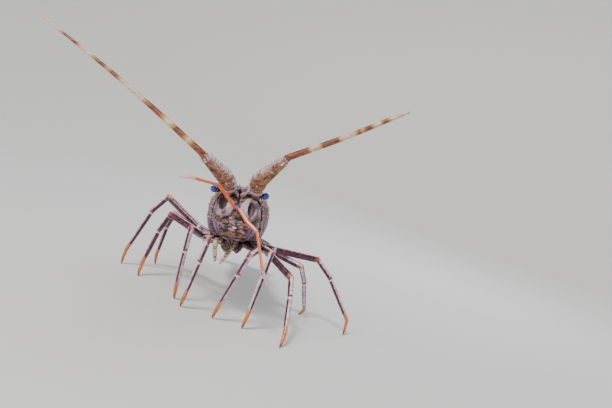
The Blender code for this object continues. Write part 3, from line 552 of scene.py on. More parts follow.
def antenna_finish():
    f = Finish("tan_lavender_antenna", Coat_Weight=0.2, Coat_Roughness=0.3)
    at = f.place()
    fine = f.noise(at, 1.3, 4, 0.65)
    blotch = f.noise(at, 7, 3, 0.55, 0.8)
    speck = f.cells(at, 1.5)
    crest = f.mark("crest") + (blotch - 0.5) * 0.6
    fold = f.mark("fold")
    tan = f.ramp(blotch + (fine - 0.5) * 0.45, (0.33, (0.06, 0.02, 0.012)), (0.46, (0.21, 0.072, 0.027)),
                 (0.58, (0.34, 0.155, 0.075)), (0.7, (0.42, 0.26, 0.21)))
    pale = f.ramp(blotch + (fine - 0.5) * 0.5, (0.34, (0.19, 0.09, 0.15)), (0.5, LAVENDER),
                  (0.64, PALE_LAVENDER))
    color = f.mix((crest + (fine - 0.5) * 0.7).over(0.66, 0.45) * 0.9, tan, pale)
    color = f.mix(fold * 0.85, color, f.mix(blotch.over(0.5, 0.15), (0.42, 0.15, 0.05), (0.10, 0.03, 0.02)))
    color = f.mix(f.mark("white") * (0.6 + fine * 0.6), color, BONE)
    # Painted shadow on the neck of each antenna base.
    color = f.mix(f.mark("neck"), color, (0.045, 0.014, 0.011))
    height = (0.6 - speck).clamped() * 0.7 + fine * 0.6
    return f.done(color, 0.42 + fine * 0.2, f.bump(height, 0.35, 0.9))


def feeler_finish():
    f = Finish("banded_feeler", Coat_Weight=0.25, Coat_Roughness=0.25)
    at = f.place()
    fine = f.noise(at, 1.2, 3, 0.6)
    streak = f.noise(f.stretched(at, (0.25, 0.25, 1.0)), 2.5, 3, 0.6)
    dark = f.ramp(streak + (fine - 0.5) * 0.4, (0.35, (0.075, 0.014, 0.007)),
                  (0.52, (0.22, 0.045, 0.012)), (0.68, (0.42, 0.14, 0.035)))
    pale = f.ramp(streak + (fine - 0.5) * 0.3, (0.4, (0.60, 0.42, 0.26)), (0.6, CREAM))
    color = f.mix((f.mark("pale") + (fine - 0.5) * 0.25).over(0.5, 0.3), dark, pale)
    color = f.mix(f.mark("yellow") * 0.75, color, YELLOW)
    knob = f.noise(at, 2.6, 2, 0.5)
    color = f.mix((f.mark("collar") * 0.8 + (knob - 0.5) * 3.0).over(0.8, 0.25), color, (0.60, 0.47, 0.48))
    color = f.mix(f.mark("ring") * 0.35, color, (0.10, 0.025, 0.012))
    return f.done(color, 0.35 + fine * 0.15, f.bump(fine, 0.12, 0.5))


def antennule_finish():
    f = Finish("orange_antennule", Coat_Weight=0.5, Coat_Roughness=0.15)
    at = f.place()
    fine = f.noise(at, 1.5, 3)
    line = f.mark("line")
    orange = f.mix(fine.over(0.5, 0.3), (0.74, 0.095, 0.003), (0.88, 0.17, 0.008))
    # Painted highlight: the line mark lightens the upper front side of each antennule.
    color = f.mix((line + (fine - 0.5) * 0.4).over(0.72, 0.25) * 0.75, orange, (0.90, 0.58, 0.44))
    color = f.mix(f.mark("joint") * 0.6, color, DEEP_ORANGE)
    color = f.mix(f.mark("fork"), color, f.mix(fine, (0.70, 0.26, 0.20), PINK_WHITE))
    color = f.mix(f.mark("violet"), color, (0.16, 0.06, 0.40))
    return f.done(color, 0.3 + fine * 0.1, f.bump(fine, 0.1, 0.4))


def leg_finish():
    f = Finish("maroon_leg", Coat_Weight=0.45, Coat_Roughness=0.18)
    at = f.place()
    fine = f.noise(at, 1.1, 3, 0.6)
    cloud = f.noise(at, 5, 3, 0.55, 0.5)
    maroon = f.ramp(cloud + (fine - 0.5) * 0.25, (0.36, (0.020, 0.003, 0.012)),
                    (0.52, (0.065, 0.007, 0.032)), (0.68, (0.17, 0.022, 0.06)))
    level = f.mark("stripe") + (cloud - 0.5) * 0.3 + (fine - 0.5) * 0.2
    stripe = level.over(0.5, 0.14)
    pale = f.ramp(cloud + (fine - 0.5) * 0.3, (0.36, (0.52, 0.26, 0.44)), (0.5, (0.66, 0.45, 0.62)),
                  (0.64, (0.82, 0.70, 0.78)))
    color = f.mix(level.over(0.36, 0.1), maroon, (0.46, 0.060, 0.018))
    color = f.mix(stripe, color, pale)
    warm = (f.mark("warm") + (cloud - 0.5) * 0.5).over(0.5, 0.5)
    color = f.mix(warm * 0.85, color, f.mix(fine, (0.52, 0.085, 0.012), (0.76, 0.30, 0.08)))
    white = (f.mark("white") + (cloud - 0.5) * 0.5).over(0.55, 0.3)
    color = f.mix(white * 0.9, color, (0.80, 0.66, 0.76))
    color = f.mix(f.mark("seam"), color, DARK_BROWN)
    return f.done(color, 0.3 + fine * 0.16, f.bump(fine + cloud * 0.5, 0.16, 0.6))


def claw_finish():
    f = Finish("orange_claw", Coat_Weight=0.3, Coat_Roughness=0.25)
    at = f.place()
    fine = f.noise(at, 1.0, 3, 0.6)
    color = f.ramp(f.mark("along") + (fine - 0.5) * 0.25, (0.0, (0.60, 0.16, 0.03)),
                   (0.3, (0.78, 0.26, 0.03)), (0.7, (0.46, 0.11, 0.015)), (0.92, (0.07, 0.02, 0.012)))
    return f.done(color, 0.38, f.bump(fine, 0.12, 0.6))


def mouth_finish():
    """Mouth limbs: yellow white with dark spots."""
    f = Finish("spotted_mouth_limb", Coat_Weight=0.3, Coat_Roughness=0.25)
    at = f.place()
    fine = f.noise(at, 1.5, 3, 0.6)
    spots = f.cells(at, 4.2)
    ground = f.mix(fine, (0.60, 0.42, 0.22), (0.78, 0.70, 0.52))
    color = f.mix((0.28 + (fine - 0.5) * 0.3 - spots).over(0.0, 0.08), ground, (0.10, 0.03, 0.022))
    color = f.mix(f.mark("seam"), color, (0.16, 0.06, 0.03))
    return f.done(color, 0.38 + fine * 0.1, f.bump(fine, 0.2, 0.6))


def belly_finish():
    f = Finish("pale_belly", Coat_Weight=0.2, Coat_Roughness=0.3)
    at = f.place()
    fine = f.noise(at, 2.0, 3, 0.6)
    cloud = f.noise(at, 9, 3, 0.55, 0.5)
    color = f.ramp(cloud + (fine - 0.5) * 0.3, (0.36, (0.20, 0.09, 0.06)), (0.5, (0.44, 0.27, 0.18)),
                   (0.65, (0.62, 0.47, 0.36)))
    color = f.mix(f.mark("seam"), color, (0.12, 0.05, 0.03))
    return f.done(color, 0.45 + fine * 0.15, f.bump(fine, 0.25, 0.6))


def tail_finish():
    f = Finish("red_brown_tail", Coat_Weight=0.4, Coat_Roughness=0.2)
    at = f.place()
    fine = f.noise(at, 1.8, 3, 0.6)
    cloud = f.noise(at, 12, 4, 0.6, 0.7)
    speck = f.cells(at, 4.5)
    color = f.ramp(cloud + (fine - 0.5) * 0.3, (0.34, (0.055, 0.013, 0.012)), (0.5, RED_BROWN),
                   (0.66, (0.30, 0.09, 0.04)))
    color = f.mix((0.17 - speck).over(0.0, 0.06) * cloud.over(0.47, 0.1), color, (0.66, 0.46, 0.28))
    color = f.mix(f.mark("groove") * 0.8, color, DARK_BROWN)
    color = f.mix((f.mark("spot") + (fine - 0.5) * 0.3).over(0.5, 0.2) * 0.92, color, (0.80, 0.64, 0.42))
    color = f.mix(f.mark("rim") * 0.75, color, (0.62, 0.34, 0.18))
    color = f.mix(f.mark("under"), color, f.mix(fine, (0.46, 0.29, 0.20), (0.66, 0.52, 0.42)))
    height = fine * 0.6 + (0.5 - speck).clamped() * 0.3
    return f.done(color, 0.33 + fine * 0.18, f.bump(height, 0.3, 0.7))


FINISHES = {
    "shell": shell_finish(),
    "thorn": thorn_finish(),
    "bristle": bristle_finish(),
    "face": face_finish(),
    "eye": eye_finish(),
    "stalk": stalk_finish(),
    "antenna": antenna_finish(),
    "feeler": feeler_finish(),
    "antennule": antennule_finish(),
    "leg": leg_finish(),
    "claw": claw_finish(),
    "mouth": mouth_finish(),
    "belly": belly_finish(),
    "tail": tail_finish(),
}


# Meshes

def signed_volume(points, faces):
    total = 0.0
    for face in faces:
        a = points[face[0]]
        for b, c in zip(face[1:], face[2:]):
            total += np.dot(a, np.cross(points[b], points[c]))
    return total


def skin(name, grid, finish, marks=None):
    """A closed mesh over rows of points that each run round the piece; `marks` are values per point."""
    rows, columns = grid.shape[:2]
    index = np.arange(rows * columns).reshape(rows, columns)
    ahead = np.roll(index, -1, axis=1)
    faces = np.stack([index[:-1], ahead[:-1], ahead[1:], index[1:]], axis=-1).reshape(-1, 4).tolist()
    points = np.concatenate([grid.reshape(-1, 3), grid[:1].mean(1), grid[-1:].mean(1)])
    first, last = rows * columns, rows * columns + 1
    for j in range(columns):
        k = (j + 1) % columns
        faces.append([first, int(index[0][k]), int(index[0][j])])
        faces.append([last, int(index[-1][j]), int(index[-1][k])])
    sample = faces[::max(1, len(faces) // 4000)] if len(faces) > 40000 else faces
    if signed_volume(points - points.mean(0), sample) < 0:
        faces = [face[::-1] for face in faces]
    mesh = bpy.data.meshes.new(name)
    mesh.from_pydata(points, [], faces)
    for key, values in (marks or {}).items():
        values = np.broadcast_to(values, (rows, columns))
        flat = np.concatenate([values.reshape(-1), [values[0].mean(), values[-1].mean()]]).astype(np.float32)
        mesh.attributes.new(key, "FLOAT", "POINT").data.foreach_set("value", flat)
    mesh.materials.append(FINISHES[finish])
    mesh.shade_smooth()
    return mesh


def body_skin(name, grid, finish, marks=None):
    return skin(name, body_to_world(grid), finish, marks)


def placed(name, data):
    """A new object with this data, in the scene."""
    obj = bpy.data.objects.new(name, data)
    bpy.context.scene.collection.objects.link(obj)
    return obj


def piece(name, mesh, slot, *nodes):
    """Put a finished mesh in the scene, on the body, in place of the solids it stands for."""
    obj = placed(name, mesh)
    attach(obj, "root")
    if nodes:
        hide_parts(*nodes)


def merged(name, meshes):
    """One mesh from several, with their marks and finishes."""
    objects = [placed(name, mesh) for mesh in meshes]
    with bpy.context.temp_override(active_object=objects[0], selected_editable_objects=objects):
        bpy.ops.object.join()
    mesh = objects[0].data
    bpy.data.objects.remove(objects[0])
    return mesh


def normals_of(grid):
    """Outward normals of a grid whose columns run round."""
    along = np.gradient(grid, axis=0)
    round_ = np.roll(grid, -1, axis=1) - np.roll(grid, 1, axis=1)
    normal = unit(np.cross(round_, along))
    outward = grid - grid.mean(1, keepdims=True)
    if (normal * outward).sum() < 0:
        normal = -normal
    return normal


def relief(grid, height):
    return grid + normals_of(grid) * np.asarray(height)[..., None]


def sweep(path, across, radius, columns=40, flat=1.0, first=None, last=None, blend=3.0):
    """Rings round a path. Angle 0 points `across`, and 90 degrees along the path's way x across."""
    path = np.asarray(path, float)
    way = unit(np.gradient(path, axis=0))
    steps = distances(path)
    if first is not None:
        share = smooth_step(steps / blend)[:, None]
        way = unit(unit(first) * (1 - share) + way * share)
    if last is not None:
        share = smooth_step((steps[-1] - steps) / blend)[:, None]
        way = unit(unit(last) * (1 - share) + way * share)
    wide = unit(across - way * (way @ unit(across))[:, None])
    tall = np.cross(way, wide)
    angle = turns(columns)
    radius = np.asarray(radius, float)
    radius = radius[:, None] if radius.ndim == 1 else radius
    c, s = np.cos(angle)[None, :], np.sin(angle)[None, :]
    sideways = wide[:, None] * (radius * c)[..., None]
    return path[:, None] + sideways + tall[:, None] * (radius * s * flat)[..., None]


def dense(points, step=0.8, soften=2.0):
    """A path of close, even steps through points, its corners rounded; and its distances."""
    points = np.asarray(points, float)
    at = distances(points)
    count = max(int(at[-1] / step), 4)
    s = np.linspace(0, at[-1], count + 1)
    return soft_path(along_line(s, at, points), int(soften / step)), s


def soft_path(path, reach):
    """Rounds the corners of a path and keeps its ends."""
    if reach < 1:
        return path
    padded = np.concatenate([2 * path[0] - path[reach:0:-1], path, 2 * path[-1] - path[-2:-reach - 2:-1]])
    return np.stack([np.convolve(padded[:, i], kernel(reach), "valid") for i in range(3)], axis=1)


def spread(s, stops):
    """Values at distances s through (distance, value) stops."""
    return np.interp(s, [p for p, _ in stops], [v for _, v in stops])


def rounded_ends(radius, s, first=0.0, last=0.0):
    """Bring the radius in over the first and last millimetres, so that the ends are round."""
    total = s[-1]
    scale = np.ones_like(s)
    if first:
        scale *= np.sqrt(1 - (1 - np.clip(s / first, 0.02, 1)) ** 2)
    if last:
        scale *= np.sqrt(1 - (1 - np.clip((total - s) / last, 0.02, 1)) ** 2)
    return radius * scale


# Spines and bristles, set on points by Geometry Nodes

def thorn_tree():
    """A bent, tapered thorn on each point, turned along `aim` and sized by `size`."""
    group = bpy.data.node_groups.new("thorns", "GeometryNodeTree")
    sockets = {}
    group.interface.new_socket("Geometry", in_out="INPUT", socket_type="NodeSocketGeometry")
    for name, kind in (("Sides", "Int"), ("Rings", "Int"), ("Bend", "Float"), ("Material", "Material")):
        socket = group.interface.new_socket(name, in_out="INPUT", socket_type=f"NodeSocket{kind}")
        sockets[name] = socket.identifier
    group.interface.new_socket("Geometry", in_out="OUTPUT", socket_type="NodeSocketGeometry")
    t = Tree(group)
    given = group.nodes.new("NodeGroupInput")
    given = {out.name: Value(t, out) for out in given.outputs if out.name}
    sizes = {"Vertices": given["Sides"], "Side Segments": given["Rings"], "Radius Top": 0.03,
             "Radius Bottom": 1.0, "Depth": 1.0}
    cone = t.add("GeometryNodeMeshCone", {}, sizes)
    place = t.add("GeometryNodeInputPosition")
    parts = group.nodes.new("ShaderNodeSeparateXYZ")
    group.links.new(place.socket, parts.inputs[0])
    x, y, z = (Value(t, out) for out in parts.outputs)
    waist = 1.0 - 0.9 * z * (1.0 - z)
    bent = t.add("ShaderNodeCombineXYZ", {}, [x * waist + given["Bend"] * z * z, y * waist, z])
    cone = t.add("GeometryNodeSetPosition", {}, {"Geometry": cone, "Position": bent})
    cone = t.add("GeometryNodeStoreNamedAttribute", {"data_type": "FLOAT", "domain": "POINT"},
                 {"Geometry": cone, "Name": "tip", "Value": z})
    aim = t.add("GeometryNodeInputNamedAttribute", {"data_type": "FLOAT_VECTOR"}, {"Name": "aim"})
    size = t.add("GeometryNodeInputNamedAttribute", {"data_type": "FLOAT_VECTOR"}, {"Name": "size"})
    turn = t.add("FunctionNodeAlignRotationToVector", {"axis": "Z"}, {"Vector": aim})
    many = t.add("GeometryNodeInstanceOnPoints", {}, {"Points": given["Geometry"], "Instance": cone,
                                                      "Rotation": turn, "Scale": size})
    real = t.add("GeometryNodeRealizeInstances", {}, {"Geometry": many})
    smooth = t.add("GeometryNodeSetShadeSmooth", {}, {"Geometry": real})
    painted = t.add("GeometryNodeSetMaterial", {}, {"Geometry": smooth, "Material": given["Material"]})
    out = group.nodes.new("NodeGroupOutput")
    group.links.new(painted.socket, out.inputs[0])
    return group, sockets


THORNS, THORN_SOCKETS = thorn_tree()


def within(thorn):
    """Whether a thorn's tip stays in the whole model's box and above the floor."""
    root, aim, length = thorn[:3]
    tip = root + aim * length
    return bool(np.all(tip > np.array(cad_box[0]) + 0.0001) and np.all(tip < np.array(cad_box[1]) - 0.0001))


def thorn_mesh(name, thorns, finish, sides=7, rings=4, bend=0.0):
    """Thorns from rows of (root, aim, length, width, tint), in metres of the row frame."""
    thorns = [t for t in thorns if within(t)]
    points = bpy.data.meshes.new(f"{name}_points")
    points.from_pydata([t[0] for t in thorns], [], [])
    aims = np.array([t[1] for t in thorns], np.float32)
    sizes = np.array([(t[3], t[3], t[2]) for t in thorns], np.float32)
    tints = np.array([t[4] for t in thorns], np.float32)
    points.attributes.new("aim", "FLOAT_VECTOR", "POINT").data.foreach_set("vector", aims.ravel())
    points.attributes.new("size", "FLOAT_VECTOR", "POINT").data.foreach_set("vector", sizes.ravel())
    points.attributes.new("tint", "FLOAT", "POINT").data.foreach_set("value", tints)
    obj = placed(f"{name}_points", points)
    modifier = obj.modifiers.new("thorns", "NODES")
    modifier.node_group = THORNS
    values = {"Sides": sides, "Rings": rings, "Bend": bend, "Material": FINISHES[finish]}
    for key, value in values.items():
        modifier[THORN_SOCKETS[key]] = value
    bpy.context.view_layer.update()
    graph = bpy.context.evaluated_depsgraph_get()
    mesh = bpy.data.meshes.new_from_object(obj.evaluated_get(graph))
    bpy.data.objects.remove(obj)
    bpy.data.meshes.remove(points)
    mesh.name = name
    return mesh


def thorn(root, aim, length, width, tint=0.5, sunk=0.25):
    """A thorn whose root, in world metres, lies under the surface by a share of its length."""
    aim = unit(aim)
    full = length * (1 + sunk) * MM
    return (np.asarray(root) - aim * length * sunk * MM, aim, full, width * MM, tint)


def body_thorn(root, aim, length, width, tint):
    """A thorn whose root and aim are given in the body frame."""
    return thorn(body_to_world(root), np.asarray(aim) @ TURN.T, length, width, tint)


def directions(grid, path, i, j):
    """At one point of a swept piece: straight out of it, and on along its path."""
    return unit(grid[i, j] - path[i]), unit(path[i + 1] - path[i])


def spine_piece(name, thorns, slot):
    piece(name, thorn_mesh(name, thorns, "thorn", 8, 5, 0.1), slot)


def hair_piece(name, hairs, slot):
    piece(name, thorn_mesh(name, hairs, "bristle", 3, 2), slot)


# Shell of the head and chest

def shell_points(y, angle):
    """Places on the shell; the angle is 0 on the back and a quarter turn at the side."""
    y, angle = np.broadcast_arrays(np.asarray(y, float), np.asarray(angle, float))
    front = smooth_step((y + 30) / 75)
    back = 1 - 0.17 * smooth_step((y - 95) / 50)
    width = SHELL_WIDTH / 2 * (0.62 + 0.38 * front) * back
    top = SHELL_TOP * (0.72 + 0.28 * front) * (1 - 0.24 * smooth_step((y - 85) / 60))
    s, c = np.sin(angle), np.cos(angle)
    groove = GROOVE_DEPTH * bump_at(y, GROOVE_AT, 7) * np.where((np.abs(s) < 0.95) | (c > 0), 1.0, 0.4)
    rim = 1.6 * bump_at(y, RIM_GROOVE_AT, 4) * (c > -0.2)
    inset = groove + rim
    flank = FLANK_POWER + (HIND_FLANK_POWER - FLANK_POWER) * smooth_step((y - 55) / 35)
    x = (width - inset) * np.abs(s) ** np.where(c > 0, 0.85, flank) * np.sign(s)
    z = np.where(c > 0, (top - inset) * np.abs(c) ** 0.92, -SHELL_BELLY * np.abs(c) ** 0.9)
    z = np.maximum(z, SHELL_FLOOR - FRONT_DROP * smooth_step((FRONT_DROP_END - y) / 14))
    forward = 16 * smooth_step((y - 14) / 40) * smooth_step((125 - y) / 45)
    return np.stack([x, y - forward * (1 - np.cos(angle)) / 2, z], axis=-1)


def shell_normal(y, angle):
    along = shell_points(y + 1, angle) - shell_points(y - 1, angle)
    round_ = shell_points(y, angle + 0.02) - shell_points(y, angle - 0.02)
    return unit(np.cross(round_, along))


def margin_start(angle):
    """Where each line along the shell meets the slanted front edge."""
    top = np.array([0, *MARGIN_TOP])
    down = np.array([0, *MARGIN_BOTTOM]) - top
    outward = unit([0, down[2], -down[1]])
    y = np.full_like(angle, 8.0)
    for _ in range(24):
        y = y + ((shell_points(y, angle) - top) @ outward) / -outward[1]
    return y, outward


def shell():
    angle = turns(288)
    start, outward = margin_start(angle)
    share = np.linspace(0, 1, 250)[:, None]
    y = start + (SHELL_LENGTH - start) * share
    grid = shell_points(y, angle)
    back = np.cos(angle)[None, :] > -0.25
    side_line = np.abs(np.sin(angle))[None, :]
    gill = bump_at(side_line, 0.33, 0.06) * smooth_step((y - 70) / 8) * smooth_step((128 - y) / 8) * back
    cheek = bump_at(y, 36 + 14 * side_line, 4) * (side_line > 0.5) * back
    height = -1.0 * gill - 0.9 * cheek
    height += 0.35 * grain(grid, 5.5) * back + 0.16 * grain(grid, 1.7, 3)
    grid = relief(grid, height)
    groove = np.maximum(bump_at(y, GROOVE_AT, 5.5), bump_at(y, RIM_GROOVE_AT, 3.2)) * back
    groove = np.maximum(groove, np.maximum(gill, cheek * 0.7))
    rim = bump_at(y, SHELL_LENGTH, 6) * back + smooth_step((start + 3.5 - y) / 3) * 0.9
    front, hind = grid[0].mean(0), grid[-1].mean(0)
    lip = grid[0] + (grid[0] - front) * 0.012
    inner = front + (grid[0] - front) * 0.965 - outward * 0.8
    deep = front + (grid[0] - front) * 0.86 - outward * 2.6
    tail_in = hind + (grid[-1] - hind) * 0.95
    tail_deep = tail_in + np.array([0, -3.0, 0])
    grid = np.concatenate([deep[None], inner[None], lip[None], grid, tail_in[None], tail_deep[None]])
    blank, full = np.zeros((1, 288)), np.ones((1, 288))
    groove = np.concatenate([full * 0.7, full * 0.4, blank, groove, full, full])
    rim = np.concatenate([blank, full * 0.3, full * 0.9, rim, blank, blank])
    mesh = body_skin("shell_skin", grid, "shell", {"groove": groove, "rim": rim})
    piece("shell", mesh, "shell", "carapace")


def shell_thorns():
    """The rows of forward-pointing spines, and small ones between them."""
    thorns = []
    lean = np.array([0, -0.85, 0.12])
    for row, (degrees, longest) in enumerate(SPINE_ROWS):
        for side in (1, -1):
            y = 11.0 + SPINE_PITCH / 2 * (row % 2)
            while y < 126:
                angle = radians(degrees + rng.uniform(-3, 3)) * side
                fade = 1 - 0.5 * y / SHELL_LENGTH
                if abs(y - GROOVE_AT) > 5:
                    forward = 1 + 1.1 * smooth_step((degrees - 50) / 30) * smooth_step((90 - y) / 30)
                    aim = shell_normal(y, angle) + lean * forward
                    length = longest * fade * rng.uniform(0.9, 1.15)
                    tint = max(0.0, min(1.0, 0.15 + abs(degrees) / 110 - y / 350 + rng.uniform(-0.1, 0.1)))
                    thorns.append(body_thorn(shell_points(y, angle), aim, length, 1.9 * fade + 0.3, tint))
                y += SPINE_PITCH + rng.uniform(-1.5, 1.5)
    for _ in range(SMALL_SPINES):
        angle = radians(rng.uniform(-140, 140))
        y = rng.uniform(4, 128)
        low = smooth_step((abs(angle) - radians(85)) / radians(55))
        if abs(y - GROOVE_AT) < 4 or rng.random() < low * 0.8:
            continue
        aim = shell_normal(y, angle) + lean * 1.2
        size = rng.uniform(0.8, 2.2) * (1 - 0.4 * y / SHELL_LENGTH)
        tint = rng.uniform(0.0, 0.45)
        thorns.append(body_thorn(shell_points(y, angle), aim, size, 0.45 + size * 0.22, tint))
    for degrees, length in FRONT_SPINES:
        for side in (1, -1):
            angle = radians(degrees) * side
            forward = 0.8 + 0.9 * smooth_step((degrees - 50) / 30)
            aim = shell_normal(FRONT_SPINES_AT, angle) + np.array([0, -forward, 0])
            thorns.append(body_thorn(shell_points(FRONT_SPINES_AT, angle), aim, length, 2.1, 0.85))
    piece("shell_spines", thorn_mesh("shell_spines", thorns, "thorn", 9, 6, 0.0), "shell")


def shell_hair():
    """Short stiff hair that stands before each spine of the shell."""
    hairs = []
    for _ in range(SHELL_HAIRS):
        angle = radians(rng.uniform(-150, 150))
        y = rng.uniform(3, 130)
        low = smooth_step((abs(angle) - radians(85)) / radians(60))
        if abs(y - GROOVE_AT) < 3.5 or rng.random() < low:
            continue
        normal = shell_normal(y, angle)
        aim = normal * 0.6 + np.array([rng.uniform(-0.3, 0.3), -1.0, rng.uniform(-0.2, 0.2)])
        hairs.append(body_thorn(shell_points(y, angle), aim, rng.uniform(0.9, 1.8), 0.09,
                                rng.uniform(0, 0.4)))
    hair_piece("shell_hair", hairs, "shell")


def horns():
    """The two flattened horns over the eyes, with teeth along their front edge."""
    meshes, thorns = [], []
    for side in (1, -1):
        root = np.array([HORN_ROOT[0] * side, *HORN_ROOT[1:]])
        tip = np.array([HORN_TIP[0] * side, *HORN_TIP[1:]])
        t = np.linspace(0, 1, 60)
        path = root + (tip - root) * t[:, None] + HORN_BOW * np.sin(pi * t)[:, None]
        width = HORN_WIDTH * (1 - t) ** 0.8 + 0.3
        ridge = 1 + 0.05 * np.cos(turns(36) * 6)[None, :] * (1 - t)[:, None]
        grid = sweep(path, np.array([0, 1.0, 0]), width[:, None] * ridge, 36, 0.55)
        grid = relief(grid, 0.18 * grain(grid, 1.6, 5))
        marks = {"crest": 0.75 - 0.5 * t[:, None], "white": smooth_step((t[:, None] - 0.6) / 0.4)}
        meshes.append(body_skin("horn", grid, "antenna", marks))
        for share, length in ((0.28, 3.2), (0.42, 4.2), (0.56, 3.6), (0.7, 3.0), (0.82, 2.2)):
            at = root + (tip - root) * share + HORN_BOW * sin(pi * share)
            aim = np.array([-0.3 * side, -1.0, 0.35])
            thorns.append(body_thorn(at + aim * 1.8, aim, length, 1.25, 0.8))
    meshes.append(thorn_mesh("horn_teeth", thorns, "thorn", 8, 5, 0.15))
    piece("horns", merged("horns", meshes), "shell")


# Face

def face():
    """The front of the head: plates round two pits, the antennules' channel and the mouth's furrows."""
    half = FACE_WIDTH / 2
    profile = np.array(FACE_PROFILE)
    lengths = distances(profile * [1, half, FACE_TOP, -FACE_BOTTOM])
    s = np.linspace(0, lengths[-1], 150)
    y, wide, high, low = (np.interp(s, lengths, profile[:, i]) for i in range(4))
    reach = 5
    padded = (np.pad(v, reach, "edge") for v in (y, wide, high, low))
    y, wide, high, low = (np.convolve(v, kernel(reach), "valid") for v in padded)
    angle = turns(220)
    top, bottom = (FACE_TOP * high)[:, None], (FACE_BOTTOM * low)[:, None]
    sin_a, cos_a = np.sin(angle)[None, :], np.cos(angle)[None, :]
    x = half * wide[:, None] * np.abs(sin_a) ** 0.85 * np.sign(sin_a)
    z = (top + bottom) / 2 + (top - bottom) / 2 * np.abs(cos_a) ** 0.95 * np.sign(cos_a)
    grid = np.stack([x, np.broadcast_to(y[:, None], x.shape), z], axis=-1)
    front = smooth_step((6 - grid[..., 1]) / 8)
    marks = face_marks(grid[..., 0], grid[..., 2], front, grain(grid, 4.5, 21))
    height = 1.5 * marks["plate"] - 5.0 * marks["pit"] - 1.3 * marks["seam"] + 0.5 * marks["spot"]
    height += 0.6 * marks["lip"] + marks.pop("furrow") + marks.pop("brim")
    height += front * (0.45 * grain(grid, 3.0, 2) + 0.22 * grain(grid, 1.1, 4))
    grid = relief(grid, height)
    mesh = body_skin("face_skin", grid, "face", marks)
    piece("face_plates", mesh, "face", "face")


def face_marks(x, z, front, rough):
    """Where the plates, pits, seams, spots and furrows of the face lie, and its painted shade, from 0 to 1.
    """
    side = np.abs(x)
    off = smooth_step(-x / 10)
    hollow = np.hypot((side - PIT_AT[0]) / PIT_SIZE[0], (z - PIT_AT[1] - PIT_RISE * off) / PIT_SIZE[1])
    hollow = hollow + (0.05 + 0.07 * off) * rough
    ring = np.hypot((side - PLATE_AT[0]) / PLATE_SIZE[0], (z - PLATE_AT[1]) / PLATE_SIZE[1]) + 0.12 * rough
    plate = smooth_step((1.0 - ring) / 0.16) * smooth_step((24 - z) / 4) * front
    ridge = plate * smooth_step((13.5 - side + 2 * rough) / 3) * smooth_step((z + 6) / 6)
    ridge = np.maximum(ridge, plate * smooth_step((z - 12 + 2 * rough) / 3) * smooth_step((23 - side) / 3))
    # Painted shade: the outer upper corners of the face are darkened, and more widely over the animal's right
    # pit.
    shade = smooth_step((side - 21 - 0.1 * z) / 4) * smooth_step((z - 4 + 3 * rough) / 5) * front
    painted_shade_right = smooth_step((1.1 - np.hypot((side - 20) / 10, (z - 14) / 9) + 0.3 * rough) / 0.35) * front * off
    pit = smooth_step((1 - hollow) / 0.3) * front
    brim = 0.9 * bump_at(hollow, 1.12, 0.26) * front
    edge = bump_at(hollow, 0.98, 0.1) * smooth_step((side - PIT_AT[0]) / -2) * front
    wall = pit * smooth_step((side - PIT_AT[0] + 1.5 + rough) / 4)
    channel = bump_at(x, 0, 3.2) * smooth_step((z - 5) / 5) * front
    around = bump_at(ring, 1.05, 0.1) * smooth_step((12 - z) / 10) * front
    cheek_line = bump_at(side, 25.5 - 0.01 * (z + 5) ** 2, 1.4) * smooth_step((8 - z) / 6) * front
    cheek = smooth_step((side - 15 - 0.02 * (z + 30) ** 2) / 5) * smooth_step((-12 - z) / 8) * front
    lip_line = -31.5 + 0.006 * x * x
    lip = bump_at(z, lip_line, 1.8) * (side < 17) * front
    under = bump_at(z, lip_line - 3.0, 1.8) * (side < 19) * front
    spot = smooth_step(1.3 - np.hypot((x - 0.5) / 3.2, (z + 21.5) / 1.7)) * front
    for sx, sz, rx, rz in FACE_SPOTS:
        spot = np.maximum(spot, 0.7 * smooth_step(1.3 - np.hypot((x - sx) / rx, (z - sz) / rz)) * front)
    violet = smooth_step(1.2 - np.hypot(x / 3.4, (z - 5.5) / 4.0)) * front
    pore = smooth_step(1.5 - np.hypot(side - 15.2, z + 11.2)) * front
    low = smooth_step((-9 - z) / 4) * smooth_step((23 - side) / 6) * front * (1 - plate)
    furrow = low * 0.6 * np.sin(1.45 * z + 0.012 * x * x + 1.2 * np.sin(x * 0.22) + 2.2 * rough)
    seam = np.maximum(np.maximum(channel, around * 0.8), np.maximum(cheek_line * 0.9, under))
    seam = np.maximum(seam * (1 - plate * 0.6), pore)
    plate = plate * (1 - pit)
    shade = np.maximum(shade * (1 - pit), 0.85 * painted_shade_right)
    return {"plate": plate, "pit": pit, "shade": shade, "seam": seam, "spot": spot, "violet": violet,
            "lip": np.maximum(lip, edge), "cheek": cheek, "ridge": ridge, "furrow": furrow, "brim": brim,
            "wall": wall}


def face_thorns():
    """Spines along the cheeks and the violet fringe between the antennae."""
    thorns = []
    for side in (1, -1):
        for i in range(16):
            z = 24 - i * 2.6
            at = np.array([(27.5 + 1.8 * sin(i * 0.5)) * side, -3.0 - 0.1 * z + rng.uniform(-1, 1), z])
            aim = np.array([1.1 * side, -1.0, rng.uniform(-0.2, 0.5)])
            thorns.append(body_thorn(at, aim, rng.uniform(2.0, 4.6), 1.0, rng.uniform(0.7, 1)))
        for i in range(34):
            t = i / 33
            back, rise = -14 + 7 * t + rng.uniform(-2, 2), 21 + 9 * t + rng.uniform(-2, 1)
            at = np.array([(1.5 + 15 * t) * side, back, rise])
            aim = np.array([rng.uniform(-0.4, 0.4), -0.9, 1.0])
            thorns.append(body_thorn(at, aim, rng.uniform(2.5, 5.5), 0.9, rng.uniform(0.6, 1)))
        for _ in range(26):
            at = np.array([rng.uniform(0.5, 14) * side, rng.uniform(-9, -3), rng.uniform(25, 32)])
            aim = np.array([rng.uniform(-0.5, 0.5), -1.0, rng.uniform(0.3, 1.2)])
            thorns.append(body_thorn(at, aim, rng.uniform(3.5, 6.0), 1.1, rng.uniform(0.6, 1)))
    spine_piece("face_spines", thorns, "face")


